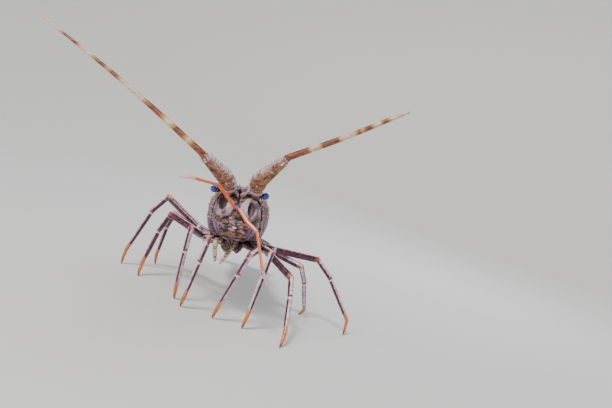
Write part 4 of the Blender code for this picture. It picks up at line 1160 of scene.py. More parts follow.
def eyes():
    for name, side in SIDES.items():
        ball = np.array(EYE_AT[name])
        inner = np.array([STALK_START[0] * side, *STALK_START[1:]])
        root = np.array([STALK_ROOT[0] * side, *STALK_ROOT[1:]])
        path, s = dense([inner, root, root + (ball - root) * 0.45, ball - unit(ball - root) * 2.2], 0.4, 2.0)
        radius = spread(s / s[-1], [(0, 2.6), (0.4, 2.9), (0.62, 2.5), (0.8, 3.4), (0.93, 3.9), (1, 3.7)])
        grid = sweep(path, np.array([0, 0, 1.0]), radius, 40)
        stalk = body_skin("stalk", relief(grid, 0.1 * grain(grid, 0.8, 2)), "stalk")
        facing = unit(unit(ball - root) + np.array([0, -0.9, 0]))
        tilt = np.linspace(0.02, pi - 0.02, 48)
        way = ball + facing * (-np.cos(tilt) * EYE_RADIUS)[:, None]
        globe = sweep(way, np.array([0, 0, 1.0]), np.sin(tilt) * EYE_RADIUS, 64, first=facing, last=facing)
        mesh = merged("eye", [body_skin("globe", globe, "eye"), stalk])
        piece(f"eye_ball_{name}", mesh, "eye", f"eye_{name}")


def mandibles():
    start = np.array([0, -1, -38.8]) + unit([0, -3, -8.8]) * 0.3
    meshes = []
    for side in (1, -1):
        path, s = dense([start + [4.6 * side, 1.5, 2.0], start + [4.4 * side, -0.2, -3.0],
                         start + [1.9 * side, -2.4, -7.0]], 0.3, 2.5)
        radius = rounded_ends(spread(s / s[-1], [(0, 4.5), (0.5, 3.9), (0.8, 2.7), (1, 1.4)]), s, 0, 1.2)
        grid = sweep(path, np.array([0.0, 1.0, 0]), radius, 40, 0.85)
        grid = relief(grid, 0.14 * grain(grid, 1.5))
        # The jaws take the dark brown stalk finish, darker than their own whitish brown: painted shade under
        # the face.
        meshes.append(body_skin("jaw", grid, "stalk"))
        for k in range(3):
            route = [(4.5 + 2.5 * k, 24 - 3 * k, -36.5), (8.5 + 2.2 * k, 8 - 0.5 * k, -41 - k),
                     (6.5 + 2.0 * k, 2.5 + 1.5 * k, -46 - 1.2 * k),
                     (2.6 + 1.8 * k, 1.5 + 2 * k, -50 - 1.5 * k)]
            path, s = dense([(x * side, y, z) for x, y, z in route], 0.4, 3.0)
            radius = rounded_ends(spread(s / s[-1], [(0, 2.2), (0.6, 2.1), (0.85, 1.6), (1, 0.9)]), s, 0, 0.9)
            swell, _ = joint_marks(s, (s[-1] * 0.6, s[-1] * 0.8), 0.35, 0.8)
            grid = sweep(path, np.array([1.0, 0, 0.2]), radius + swell, 28)
            grid = relief(grid, 0.1 * grain(path, 1.3, k)[:, None])
            meshes.append(body_skin("palp", grid, "stalk"))
    piece("jaws", merged("jaws", meshes), "belly", "mandibles")


def joint_marks(s, places, depth, width):
    """Sunken seams at joints with a slight swell beside each; a height and a mark."""
    seam = sum(bump_at(s, p, width) for p in places)
    off, half = 1.8 * width, 1.6 * width
    swell = sum(bump_at(s, p - off, half) + bump_at(s, p + off, half) for p in places)
    return 0.4 * depth * swell - depth * seam, np.minimum(seam, 1.0)


def mouth_limbs():
    hairs = []
    for name in SIDES:
        points = np.array(MAXILLIPED[name], float)
        points[0][1] = CHEST_START - 0.3
        knee = points[1]
        route = [points[0], points[0] + unit(knee - points[0]) * 4, knee, points[2], points[3]]
        path, s = dense(route, 0.35, 2.5)
        knee_at = float(np.linalg.norm(knee - points[0]))
        bends = [knee_at, knee_at + 9.0, s[-1] - 6.5]
        radius = spread(s / s[-1], [(0, 3.6), (0.3, 3.6), (0.45, 3.5), (0.7, 2.8), (0.88, 2.2), (1, 1.0)])
        swell, seam = joint_marks(s, bends, 0.7, 1.0)
        radius = rounded_ends(radius + swell, s, 0, 1.5)
        grid = sweep(path, np.array([1, 0, 0.3]), radius, 36)
        grid = relief(grid, 0.12 * grain(grid, 1.3, 6))
        mesh = body_skin("mouth_limb", grid, "mouth", {"seam": seam[:, None]})
        piece(f"mouth_limb_{name}", mesh, "belly", f"maxilliped_{name}")
        for _ in range(260):
            i = rng.randrange(int(len(s) * 0.35), len(s) - 2)
            j = rng.randrange(36)
            out, on = directions(grid, path, i, j)
            hairs.append(body_thorn(grid[i, j], out + on * 1.1, rng.uniform(1.2, 2.6), 0.1, 0.1))
    hair_piece("mouth_hair", hairs, "belly")


# Antennae and antennules

def stalk_line(name):
    """Root, joint and collar of an antenna, and its ways below the joint, above it and at it."""
    joint, collar = (np.array(ANTENNA[name][key], float) for key in ("joint", "collar"))
    lean = unit(ANTENNA[name]["lean"])
    onward = unit(collar - joint)
    return joint - lean * STALK_BASE_LENGTH, joint, collar, lean, onward, unit(lean + onward)


def crest_of(grid, path, side):
    """How far each point of a stalk faces up and inwards, from 0 to 1."""
    inward_up = unit(np.array([-0.55 * side, 0.25, 0.8]))
    out = unit(grid - path[:, None])
    return smooth_step((out @ inward_up + 0.15) / 0.6)


def stalk_thorn(start, end, radius, around, share, length, side, width, tint):
    """A thorn on a stalk, `around` degrees from its outer side and a share of the way along it."""
    along = unit(end - start)
    out = unit(np.array([side, 0.0, 0.0]) - along * along[0] * side)
    up = np.cross(out, along) * side
    a = radians(around)
    normal = out * cos(a) + up * sin(a)
    root = start + (end - start) * share + normal * (radius - 0.4)
    return body_thorn(root, normal + along * 0.8, length, width, tint)


def antenna_bases():
    """The short joints of each antenna, ringed with folds."""
    thorns = []
    for name, side in SIDES.items():
        root, joint, _, lean, _, meet = stalk_line(name)
        route = [root + [0, 19, -5.5], root + [0, 1.5, -0.9], root + lean * 9, joint - meet * 0.2]
        path, s = dense(route, 0.4, 1.2)
        s = s - s[-1] + STALK_BASE_LENGTH
        radius = spread(s, STALK_BASE_RADII)
        columns = 72
        angle = turns(columns)
        lobes = 1 + 0.05 * np.cos(3 * angle + 0.6)[None, :] * smooth_step((s - 8) / 6)[:, None]
        grid = sweep(path, np.array([1.0, 0, 0]), radius[:, None] * lobes, columns, last=meet)
        folds = bump_at(s, 0, 1.0) + bump_at(s, 7.5, 1.5) + bump_at(s, 12.2, 1.0) * 0.5 + bump_at(s, 20, 1.0)
        grid = relief(grid, 0.32 * grain(grid, 2.4, 8) + 0.14 * grain(grid, 0.9, 9) - 0.5 * folds[:, None])
        crest = crest_of(grid, path, side)
        white = bump_at(s, 16.5, 2.6)[:, None] * smooth_step((crest - 0.6) / 0.3)
        white = np.maximum(white, 0.75 * bump_at(s, 5, 2.4)[:, None] * smooth_step((0.6 - crest) / 0.4))
        # Painted shadow: the neck before the root, which runs back into the face, is near black.
        neck = smooth_step((-0.2 - s) / 1.4)[:, None]
        marks = {"crest": crest * (1 - neck), "fold": folds[:, None], "white": white, "neck": neck}
        mesh = body_skin("antenna_base", grid, "antenna", marks)
        piece(f"antenna_root_{name}", mesh, "antenna", f"antenna_base_{name}")
        for around in range(40, 250, 15):
            crest = float(bump_at(around, 185, 80))
            for share, length in ((0.2, 2.0), (0.5, 2.6), (0.68, 2.2), (0.84, 3.4)):
                size = (length + 2.4 * crest) * rng.uniform(0.7, 1.2)
                thorns.append(stalk_thorn(root, joint, 9.2, around + rng.uniform(-6, 6), share, size, side,
                                          0.7 + 0.16 * size, 0.5 + 0.5 * crest))
        for around, size, width in ((200, 3.4, 3.0), (95, 2.0, 2.4), (150, 3.0, 2.2), (240, 3.0, 2.2)):
            thorns.append(stalk_thorn(root, joint, 9.6, around, 0.9, size, side, width, 1.2))
    spine_piece("antenna_root_spines", thorns, "antenna")


def antenna_shafts():
    thorns, hairs = [], []
    for name, side in SIDES.items():
        _, joint, collar, _, onward, meet = stalk_line(name)
        path, s = dense([joint + meet * 0.2, joint + onward * 5.5, collar], 0.4, 0.8)
        t = s / s[-1]
        radius = spread(t, STALK_RADII)
        columns = 80
        angle = turns(columns)
        knobs = bump_at(np.cos(angle - 0.4), 1, 0.5) + bump_at(np.cos(angle - 2.4), 1, 0.5)
        end = bump_at(t, 0.9, 0.07)[:, None] * knobs[None, :]
        grid = sweep(path, np.array([1.0, 0, 0]), radius, columns, first=meet)
        grid = relief(grid, 0.3 * grain(grid, 2.2, 12) + 0.16 * grain(grid, 0.8, 13) + 0.9 * end)
        crest = crest_of(grid, path, side)
        fold = bump_at(t, 0, 0.03)[:, None] + bump_at(t, 0.96, 0.02)[:, None] + 0 * crest
        white = np.maximum(end, 0.75 * bump_at(t, 0.07, 0.04)[:, None] * crest)
        mesh = body_skin("antenna_shaft", grid, "antenna", {"crest": crest, "fold": fold, "white": white})
        piece(f"antenna_stalk_{name}", mesh, "antenna", f"antenna_shaft_{name}")
        for around in range(15, 256, 15):
            crest = float(bump_at(around, 178, 85))
            share = rng.uniform(0.05, 0.16)
            while share < 0.87:
                size = (1.4 + 4.0 * crest) * rng.choice((0.5, 0.8, 1.0, 1.3))
                at = STALK_JOINT_RADIUS - (STALK_JOINT_RADIUS - COLLAR_RADIUS) * share
                thorns.append(stalk_thorn(joint, collar, at, around + rng.uniform(-7, 7), share, size, side,
                                          0.6 + 0.27 * size, 0.4 + 0.7 * crest))
                share += rng.uniform(0.06, 0.13) * (1.3 - 0.4 * crest)
        for around, size, width in COLLAR_SPINES:
            thorns.append(stalk_thorn(joint, collar, COLLAR_RADIUS + 1, around, 0.88, size, side, width, 1.2))
        for around in range(0, 360, 45):
            thorns.append(stalk_thorn(joint, collar, COLLAR_RADIUS + 0.6, around, 0.95, 1.8, side, 1.9, 1.2))
        for _ in range(1500):
            i = rng.randrange(3, len(s) - 6)
            j = rng.randrange(columns)
            out = unit(grid[i, j] - path[i])
            aim = out * 0.55 + onward + np.array([rng.uniform(-0.2, 0.2) for _ in range(3)])
            hairs.append(body_thorn(grid[i, j], aim, rng.uniform(0.7, 1.5), 0.11, rng.random() * 0.5))
    spine_piece("antenna_stalk_spines", thorns, "antenna")
    hair_piece("antenna_stalk_hair", hairs, "antenna")


def feelers():
    """The long whips: tapered rods of fine rings, banded brown and pale."""
    for name in SIDES:
        _, _, collar, _, onward, _ = stalk_line(name)
        end = np.array(ANTENNA[name]["end"], float)
        start = collar + onward * 0.3
        bend_from = start + onward * 6
        t = np.linspace(0, 1, 40)[1:]
        arc = np.array([0, 0, FEELER_BOW[name]]) * np.sin(pi * t)[:, None]
        route = np.concatenate([[start - onward * 1.5, start, start + onward * 3, bend_from],
                                bend_from + (end - bend_from) * t[:, None] + arc])
        path, s = dense(route, 0.26, 1.6)
        s = s - 1.5
        share = np.clip((s - 6) / (s[-1] - 6), 0, 1)
        root_radius = spread(s, [(-1.5, 4.9), (3, 4.9), (3.6, 4.4), (6, FEELER_ROOT_RADIUS)])
        taper = (FEELER_END_RADIUS[name] - FEELER_ROOT_RADIUS) * share
        radius = np.where(s < 6, root_radius, FEELER_ROOT_RADIUS + taper)
        pitch = 1.3 - 0.4 * share
        turns = np.cumsum(np.gradient(s) / pitch)
        saw = turns - np.floor(turns)
        ring = bump_at(saw, 0.0, 0.22) + bump_at(saw, 1.0, 0.22)
        radius = radius * (1 - 0.055 * ring * (s > 6))
        radius = rounded_ends(radius, s + 1.5, 0, 1.5)
        grid = sweep(path, np.array([0, 1.0, 0]), radius, 28, first=onward)
        rough = smooth_step((5 - s) / 2)[:, None]
        grid = relief(grid, 0.06 * grain(grid, 1.0, 3) + 0.3 * grain(grid, 1.4, 4) * rough)
        whole = s / s[-1]
        bands = [(np.abs(whole - middle), half) for middle, half in FEELER_BANDS[name]]
        marks = {
            "pale": np.max([smooth_step((half + 0.012 - away) / 0.018) for away, half in bands], axis=0),
            "yellow": np.max([bump_at(away, half + 0.008, 0.02) for away, half in bands], axis=0),
            "collar": smooth_step((3.6 - s) / 1.5),
            "ring": ring * (s > 6),
        }
        mesh = body_skin("feeler", grid, "feeler", {key: v[:, None] for key, v in marks.items()})
        piece(f"antenna_whip_{name}", mesh, "feeler", f"feeler_{name}")


def antennules():
    """Jointed orange stalks in front of the face, each ending in two short pale feelers."""
    for name in SIDES:
        points = np.array(ANTENNULE[name], float)
        back = np.array([0, -1.0, 0])
        across = np.array([0.2, 0.5, 1.0])
        ways = [unit(b - a) for a, b in zip(points[:3], points[1:4])]
        route = [points[0] - back * 2.0, points[0] + back * 1.8 + ways[0] * 2, points[1], points[2]]
        base, s = dense(route, 0.3, 1.5)
        joint = float(np.linalg.norm(points[1] - points[0]))
        radius = spread(s, [(0, 2.2), (3, 2.1), (joint - 3, 2.15), (joint, 2.75), (joint + 2.5, 2.2),
                            (s[-1] - 3, 2.15), (s[-1] - 0.6, 2.6), (s[-1], 2.2)])
        folds = bump_at(s, joint + 1.8, 1.4) + bump_at(s, s[-1], 1.2)
        mesh = antennule_mesh(base, across, radius, {"joint": folds, "violet": smooth_step((4.5 - s) / 3)})
        piece(f"antennule_root_{name}", mesh, "antennule", f"antennule_base_{name}")
        tip, s = dense([points[2] - ways[1] * 0.5, points[2] + ways[2] * 3, points[3]], 0.3, 1.5)
        radius = spread(s / s[-1], [(0, 1.6), (0.03, 2.3), (0.12, 1.9), (0.6, 1.7), (0.93, 2.0), (1, 1.8)])
        marks = {"joint": bump_at(s, 0.8, 1.6), "violet": 0 * s}
        meshes = [antennule_mesh(tip, across, radius, marks)]
        for end in points[4:]:
            start = points[3] - ways[2] * 2
            middle = start + (end - start) * 0.5 + ways[2] * 1.2
            fork, s = dense([start, middle, end], 0.25, 3.0)
            rings = 1 - 0.06 * (np.sin(2 * pi * s / 0.8) > 0.3)
            radius = rounded_ends(spread(s / s[-1], [(0, 1.35), (0.5, 1.1), (1, 0.5)]) * rings, s, 0, 0.6)
            marks = {"joint": 0 * s, "violet": 0 * s, "fork": smooth_step((s - 1.5) / 2.5)}
            meshes.append(antennule_mesh(fork, across, radius, marks))
        piece(f"antennule_end_{name}", merged("antennule_end", meshes), "antennule", f"antennule_tip_{name}")


def antennule_mesh(path, across, radius, marks):
    grid = relief(sweep(path, across, radius, 32), 0.05 * grain(path, 1.2)[:, None])
    # Painted highlight: the line mark covers the side that faces up and forward, where a pale highlight is
    # painted.
    upper = unit(grid - path[:, None]) @ unit(np.array([0.1, -0.8, 0.6]))
    marks = {key: values[:, None] for key, values in {"fork": 0 * radius, **marks}.items()}
    return body_skin("antennule", grid, "antennule", {"line": smooth_step((upper - 0.62) / 0.3), **marks})


# Chest and legs

def root_way(side, leg):
    swing, rise = (radians(v) for v in STANCE[side][leg][:2])
    return np.array([SIDES[side] * cos(swing) * cos(rise), -sin(swing) * cos(rise), sin(rise)])


def hip(side, leg):
    x, y, z = HIPS[leg]
    return np.array([x * SIDES[side], y, z], float)


def chest():
    stations = np.array(CHEST_WIDTHS, float)
    y = np.linspace(CHEST_START, CHEST_END, 130)
    upper, lower = (np.interp(y, stations[:, 0], stations[:, i]) for i in (1, 2))
    top = SHELL_FLOOR - 0.3
    rows = []
    for at, u, w in zip(y, upper, lower):
        outline = [(-u, top), (-u - 1, -34), (-w, CHEST_KEEL), (0, CHEST_KEEL + 1.5),
                   (w, CHEST_KEEL), (u + 1, -34), (u, top)]
        rows.append(closed_curve([(x, at, z) for x, z in outline], 90, 3))
    grid = np.array(rows)
    below = smooth_step((-33 - grid[..., 2]) / 4)
    seams = sum(bump_at(grid[..., 1], a, 1.6) for a in (50, 66.5, 83.5, 100)) * below
    grid = relief(grid, -0.9 * seams + 0.25 * grain(grid, 3))
    meshes = [body_skin("chest_plate", grid, "belly", {"seam": seams})]
    for side in SIDES:
        for leg in range(5):
            at, way = hip(side, leg), root_way(side, leg)
            path, s = dense([at - way * 9, at - way * 0.4], 0.5, 0)
            radius = rounded_ends(spread(s, [(0, 6.0), (5, 6.3), (8, 6.3)]), s, 0, 1.0)
            socket = relief(sweep(path, np.array([0, 0, 1.0]), radius, 40), 0.15 * grain(path, 2)[:, None])
            marks = {"seam": bump_at(s, s[-1], 1.2)[:, None]}
            meshes.append(body_skin("socket", socket, "belly", marks))
    piece("chest_plates", merged("chest_plates", meshes), "belly", "chest")


def closed_curve(points, count, rounds):
    """An even loop through the corners of an outline, softened a few times."""
    points = np.asarray(points, float)
    closed = np.concatenate([points, points[:1]])
    at = distances(closed)
    loop = along_line(np.linspace(0, at[-1], count, endpoint=False), at, closed)
    for _ in range(rounds):
        loop = (np.roll(loop, 1, axis=0) + 2 * loop + np.roll(loop, -1, axis=0)) / 4
    return loop


def bend_point(a, b, upper, lower, pole):
    span = b - a
    reach = min(np.linalg.norm(span), (upper + lower) * 0.999)
    way = unit(span)
    along = (upper * upper - lower * lower + reach * reach) / (2 * reach)
    off = sqrt(max(upper * upper - along * along, 0))
    return a + way * along + unit(pole - way * (pole @ way)) * off


def leg_points(side, leg):
    """Hip, end of the root joints, knee, end of the knee joint, end of the shin, foot, standing."""
    root, upper, knee_joint, shin, claw = LEG_LENGTHS[leg]
    _, _, out, forward, foot, shin_bend, claw_bend = STANCE[side][leg]
    out, forward = radians(out), radians(forward)
    start = body_to_stand(hip(side, leg))
    base = start + root_way(side, leg) @ TURN.T * root
    foot = np.array([*foot, 0.0])
    pole = np.array([SIDES[side] * sin(out), -sin(forward), cos(out) * cos(forward)])
    flat, angle = [np.zeros(2)], 0.0
    for length, bend in ((knee_joint, shin_bend), (shin, claw_bend), (claw, 0)):
        flat.append(flat[-1] + np.array([cos(angle), sin(angle)]) * length)
        angle += radians(bend)
    chord, slope = np.linalg.norm(flat[-1]), atan2(flat[-1][1], flat[-1][0])
    knee = bend_point(base, foot, upper, chord, pole)
    down = unit(foot - knee)
    inward = base - knee
    inward = unit(inward - down * (inward @ down))
    points = [start, base]
    for p in flat:
        x = p[0] * cos(slope) + p[1] * sin(slope)
        y = p[1] * cos(slope) - p[0] * sin(slope)
        points.append(knee + down * x + inward * y)
    points[-1] = foot
    return np.array(points)


def leg_stripes(angle, front, rise, stripes):
    """Pale lines along a leg: each is (degrees up from its front side, half width, strength)."""
    total = np.zeros_like(angle)
    for middle, half, strength in stripes:
        away = np.abs((np.degrees(angle) - front - middle * rise + 180) % 360 - 180)
        total = np.maximum(total, strength * smooth_step((half - away) / 14 + 0.5))
    return total[None, :]


def leg(side, number):
    points = leg_points(side, number)
    ways = unit(np.diff(points, axis=0))
    meets = unit(ways[:-1] + ways[1:])
    label = f"{side}_leg_{number + 1}"
    node = f"leg_{side}_{number + 1}"
    thick = STOUTER if number in STOUT_LEGS else 1.0
    r = {part: radius * thick for part, radius in LEG_RADII.items()}
    across = unit(np.cross(points[1] - points[2], points[4] - points[2]))
    outer = -unit(meets[1] - ways[1])
    if np.cross(ways[1], across) @ outer < 0:
        across = -across
    headward = np.array([0, -1.0, 0]) @ TURN.T
    front = 0.0 if across @ headward > 0 else 180.0
    rise = 1 if front == 0 else -1
    columns = 40
    angle = turns(columns)
    knee_half = acos(max(-1, min(1, float(ways[1] @ ways[2])))) / 2
    clear = r["knee"] * tan(knee_half) + 2.5
    grids = {}

    root, upper, knee_joint = LEG_LENGTHS[number][:3]
    path, s = dense([points[0] - ways[0] * 1.0, points[1], points[2] - meets[1] * 0.15], 0.5, 3.5)
    s = s - 1.0
    end = s[-1]
    radius = spread(s, [
        (-1, r["root"] * 0.96), (8, r["root"] * 0.95),
        (root - 4, r["root_end"]), (root + 4, r["root_end"] * 0.95),
        (root + upper * 0.45, r["thigh"]), (end - clear - 2, r["thigh"] * 1.02),
        (end - clear * 0.5, r["thigh"] * 0.98), (end, r["knee"]),
    ])
    swell, seam = joint_marks(s, (7.5, 12.5, root), 0.55, 1.1)
    grid = sweep(path, across, radius + swell, columns, last=meets[1], blend=clear)
    grid = relief(grid, 0.14 * grain(grid, 2.6, number) + 0.06 * grain(grid, 0.9, 5))
    stripe = leg_stripes(angle, front, rise, ((75, 26, 1.0), (-8, 9, 0.35), (150, 12, 0.7)))
    stripe = stripe * smooth_step((s - 14) / 6)[:, None]
    warm = (0.5 * smooth_step((s - (end - 9)) / 6) + 0.25 * bump_at(s, 16, 8))[:, None] + 0 * angle
    white = bump_at(s, root + 2, 5.5)[:, None] * 0.85 + bump_at(s, end - 7, 5)[:, None] * stripe + 0 * angle
    marks = {"stripe": stripe, "warm": warm, "white": white, "seam": seam[:, None]}
    piece(f"{label}_thigh", skin("leg_upper", stand_to_world(grid), "leg", marks), "leg", f"{node}_upper")
    grids["upper"] = (grid, path, s)

    path, s = dense([points[2] + meets[1] * 0.15, points[3], points[4] - meets[3] * 0.15], 0.5, 2.5)
    end = s[-1]
    radius = spread(s, [
        (0, r["knee"]), (clear, r["knee_joint"]),
        (knee_joint - 3, r["knee_joint"] * 0.95), (knee_joint + 3, r["shin"] * 1.05),
        ((knee_joint + end) / 2, r["shin"]), (end - 6, r["shin_end"]),
        (end - 1.5, r["shin_end"] * 1.08), (end, r["shin_end"] * 0.9),
    ])
    swell, seam = joint_marks(s, (knee_joint,), 0.5, 1.1)
    grid = sweep(path, across, radius + swell, columns, first=meets[1], last=meets[3], blend=clear * 0.8)
    grid = relief(grid, 0.12 * grain(grid, 2.4, number + 9) + 0.05 * grain(grid, 0.8, 5))
    stripe = leg_stripes(angle, front, rise, ((38, 38, 1.0), (150, 14, 0.7), (-120, 10, 0.4)))
    stripe = stripe * (1 - bump_at(s, knee_joint, 2.5)[:, None])
    warm = smooth_step((s - (end - 15)) / 10)[:, None] + 0.5 * bump_at(s, 1, 4)[:, None]
    warm = warm + 0.6 * bump_at(s, knee_joint, 3)[:, None] + 0 * angle
    white = 0.9 * bump_at(s, 5, 5)[:, None] * (0.5 + 0.5 * stripe)
    white = white + 0.8 * bump_at(s, knee_joint + 3.5, 3)[:, None]
    marks = {"stripe": stripe, "warm": np.minimum(warm, 1), "white": white, "seam": seam[:, None]}
    meshes = [skin("leg_lower", stand_to_world(grid), "leg", marks)]
    grids["lower"] = (grid, path, s)
    if number == 0:
        inner = unit(ways[4] - ways[3] * (ways[4] @ ways[3]))
        hook = [points[4] + ways[3] * on + inner * out for on, out in HOOK]
        path, s = dense(hook, 0.25, 1.5)
        radius = rounded_ends(spread(s / s[-1], [(0, 2.0), (0.5, 1.4), (1, 0.35)]), s, 0, 0.5)
        marks = {"along": (s / s[-1] * 0.8)[:, None]}
        meshes.append(skin("hook", stand_to_world(sweep(path, across, radius, 24)), "claw", marks))
    piece(f"{label}_shin", merged("shin", meshes) if number == 0 else meshes[0], "leg", f"{node}_lower")

    foot = points[5]
    sag = unit(ways[3] - ways[4] * (ways[3] @ ways[4])) * CLAW_SAG
    path, s = dense([points[4] - ways[3] * 0.6, points[4] + ways[4] * 4, (points[4] + foot) / 2 + sag,
                     points[4] + (foot - points[4]) * 0.8 + sag * 0.6, foot], 0.3, 2.0)
    t = s / s[-1]
    radius = spread(t, [(0, r["shin_end"] * 0.78), (0.06, r["shin_end"] * 0.86), (0.25, r["claw"] * 0.97),
                        (0.7, 1.45), (0.93, 0.85), (1, 0.5)])
    grid = sweep(path, across, radius, columns, last=np.array([0, 0, -1.0]), blend=2.0)
    grid = relief(grid, (0.1 * grain(grid, 1.2, 3)) * smooth_step((1 - t) / 0.2)[:, None])
    grid[..., 2] = np.maximum(grid[..., 2], 0.0)
    mesh = skin("claw", stand_to_world(grid), "claw", {"along": t[:, None]})
    piece(f"{label}_claw", mesh, "claw", f"{node}_claw")
    grids["claw"] = (grid, path, s)
    return grids


def legs():
    thorns, hairs = [], []
    for side in SIDES:
        for number in range(5):
            grids = leg(side, number)
            grid, path, s = grids["upper"]
            knee = s[-1]
            at_knee = ((knee - 6, 90, 3.8), (knee - 5, 45, 2.4), (knee - 5, 135, 2.4))
            for place, turn, size in (*at_knee, *LEG_SPINES):
                i = int(np.argmin(np.abs(s - place)))
                j = int(turn / 360 * grid.shape[1])
                out, on = directions(grid, path, i, j)
                thorns.append(thorn(stand_to_world(grid[i, j]), out + on * 0.8, size, 0.9, 0.8))
            grid, path, s = grids["claw"]
            for _ in range(420):
                i = rng.randrange(2, int(len(s) * 0.86))
                j = rng.randrange(grid.shape[1])
                out, on = directions(grid, path, i, j)
                if grid[i, j][2] > 2.5:
                    hairs.append(thorn(stand_to_world(grid[i, j]), out * 0.5 + on, rng.uniform(1.0, 2.0), 0.1,
                                       rng.uniform(0.4, 1)))
            grid, path, s = grids["lower"]
            for _ in range(160):
                i = rng.randrange(int(len(s) * 0.72), len(s) - 3)
                j = rng.randrange(grid.shape[1])
                out, on = directions(grid, path, i, j)
                hairs.append(thorn(stand_to_world(grid[i, j]), out * 0.5 + on, rng.uniform(0.8, 1.5), 0.09,
                                   rng.uniform(0.3, 1)))
    spine_piece("leg_spines", thorns, "leg")
    hair_piece("leg_bristles", hairs, "claw")


# Tail

def tail_frames():
    frames, at = [], np.array(TAIL_START, float)
    for length, _, _, _, drop in TAIL_RINGS:
        way = np.array([0, cos(radians(drop)), -sin(radians(drop))])
        frames.append((at.copy(), way))
        at = at + way * length
    frames.append((at, np.array([0, cos(radians(FAN_DROP)), -sin(radians(FAN_DROP))])))
    return frames


def tail_outline(width, top, lobe, depth, lobe_shift):
    half = [(width * sin(radians(7.5 * i)) ** 0.9, top * cos(radians(7.5 * i)) ** 0.95, 0) for i in range(13)]
    half += [(width, -lobe * 0.45, 0.3), (width * 0.985, -lobe * 0.8, 0.8), (width * 0.96, -lobe, 1.0),
             (width * 0.90, -lobe * 0.85, 0.8), (width * 0.84, -lobe * 0.5, 0.3), (width * 0.78, -depth, 0),
             (width * 0.4, -depth - 1.0, 0), (0, -depth - 1.5, 0)]
    half = [(x, lobe_shift * k, z) for x, z, k in half]
    return half + [(-x, y, z) for x, y, z in half[-2:0:-1]]


def tail_ring(number, thorns, hairs):
    length, width, top, lobe, _ = TAIL_RINGS[number]
    frames = tail_frames()
    start, way = frames[number]
    end, onward = frames[number + 1]
    first = way if number == 0 else way + frames[number - 1][1]
    profile = np.array(RING_PROFILE)
    rows = []
    shares = np.linspace(0, 1, 64)
    for t in shares:
        scale, reach = (np.interp(t, profile[:, 0], profile[:, i]) for i in (1, 2))
        normal = unit(unit(first) * (1 - t) + unit(way + onward) * t)
        at = start + (end - start) * t
        up = np.array([0, -normal[2], normal[1]])
        outline = tail_outline(width * scale, top * scale, max(lobe * reach, 13.0), 11.0, 3.0 * reach * t)
        corners = [at + np.array([x, 0, 0]) + normal * y + up * z for x, y, z in outline]
        rows.append(closed_curve(corners, 176, 2))
    grid = np.array(rows)
    s = shares[:, None] * length
    centre = start + (end - start) * shares[:, None]
    local_z = (grid - centre[:, None])[..., 2]
    local_x = grid[..., 0]
    above = smooth_step((local_z + 4) / 4)
    under = smooth_step((-9.5 - local_z) / 2) * (np.abs(local_x) < width * 0.82)
    groove = bump_at(s, 0.42 * length, 1.8) * above * (np.abs(local_x) > width * 0.08)
    seam = bump_at(np.abs(local_x), width * 0.93, 1.6) * (local_z < top * 0.25) * above
    grid = relief(grid, -0.35 * groove - 0.3 * seam + 0.22 * grain(grid, 4.2, number) * above
                  + 0.08 * grain(grid, 1.2, 5))
    upper = np.hypot((np.abs(local_x) - width * 0.42) / 3.4, (s - 0.66 * length) / 2.6)
    outer = np.hypot((np.abs(local_x) - width * 0.98) / 3.0, (s - 0.62 * length) / 2.4)
    lower = np.hypot((local_z + lobe * 0.62) / 3.2, (s - 0.56 * length) / 2.2)
    spot = np.maximum(smooth_step(1.5 - upper) * above, smooth_step(1.5 - outer) * above)
    spot = np.maximum(spot, smooth_step(1.4 - lower) * (np.abs(local_x) > width * 0.86))
    rim = bump_at(s, length - 1.6, 1.4) * above
    rim = rim + 0.8 * smooth_step((-local_z - lobe * 0.78) / 2) * (1 - under)
    hind = smooth_step((s - length + 0.5) / 0.5) * np.ones_like(above)
    marks = {"groove": np.maximum(np.maximum(groove, seam * 0.6), hind * 0.7), "spot": spot,
             "rim": np.minimum(rim, 1) * (1 - hind), "under": under}
    meshes = [body_skin("tail_ring", grid, "tail", marks)]
    for side in (1, -1):
        at = start + (end - start) * 0.5 + np.array([width * 0.93 * side, 1.5, -lobe * 0.86])
        thorns.append(body_thorn(at, [0.12 * side, 0.5, -1], 5.0, 1.9, 0.7))
        thorns.append(body_thorn(at + [0, 4.5, 2.0], [0.1 * side, 0.8, -1], 2.4, 1.0, 0.7))
        if 0 < number < 5:
            root = start + (end - start) * 0.45 + np.array([13 * side, 0, -9.0])
            meshes.append(swimmeret(root, side, hairs))
    for _ in range(620):
        i = rng.choice((27, 28, 61, 62))
        j = rng.randrange(grid.shape[1])
        if local_z[i, j] > -lobe * 0.5 and local_z[i, j] > -8:
            out = unit(grid[i, j] - centre[i])
            aim = unit(end - start) + out * 0.25
            hairs.append(body_thorn(grid[i, j], aim, rng.uniform(0.8, 1.8), 0.1, rng.random() * 0.4))
    piece(f"tail_plate_{number + 1}", merged("tail_plate", meshes), "tail", f"tail_{number + 1}")


def swimmeret(root, side, hairs):
    """A soft leaf under a tail ring, with a fringe of hair."""
    down = unit([0.25 * side, 0.62, -0.78])
    t = np.linspace(0, 1, 40)
    path = root + down * 27 * t[:, None] + np.array([0, 1.0, 1.0]) * (np.sin(pi * t) * 1.2)[:, None]
    width = spread(t, [(0, 3.0), (0.2, 5.2), (0.45, 7.2), (0.65, 7.3), (0.85, 5.6), (0.97, 2.6), (1, 0.8)])
    thick = spread(t, [(0, 1.8), (0.3, 0.9), (1, 0.35)])
    grid = sweep(path, np.array([1.0, 0, 0]), width, 36)
    flat = grid - path[:, None]
    tall = unit(np.cross(down, np.array([1.0, 0, 0])))
    depth = flat @ tall
    grid = path[:, None] + flat - tall * (depth * (1 - (thick / width)[:, None]))[..., None]
    for _ in range(220):
        i = rng.randrange(16, 39)
        j = rng.choice((0, 18))
        out = unit(flat[i, j]) + down * 1.2
        hairs.append(body_thorn(grid[i, j], out, rng.uniform(1.6, 3.2), 0.09, 0.1))
    zero = np.zeros((40, 36))
    marks = {"under": zero + 0.6, "rim": bump_at(t, 1, 0.2)[:, None] + zero, "groove": zero, "spot": zero}
    return body_skin("swimmeret", grid, "tail", marks)


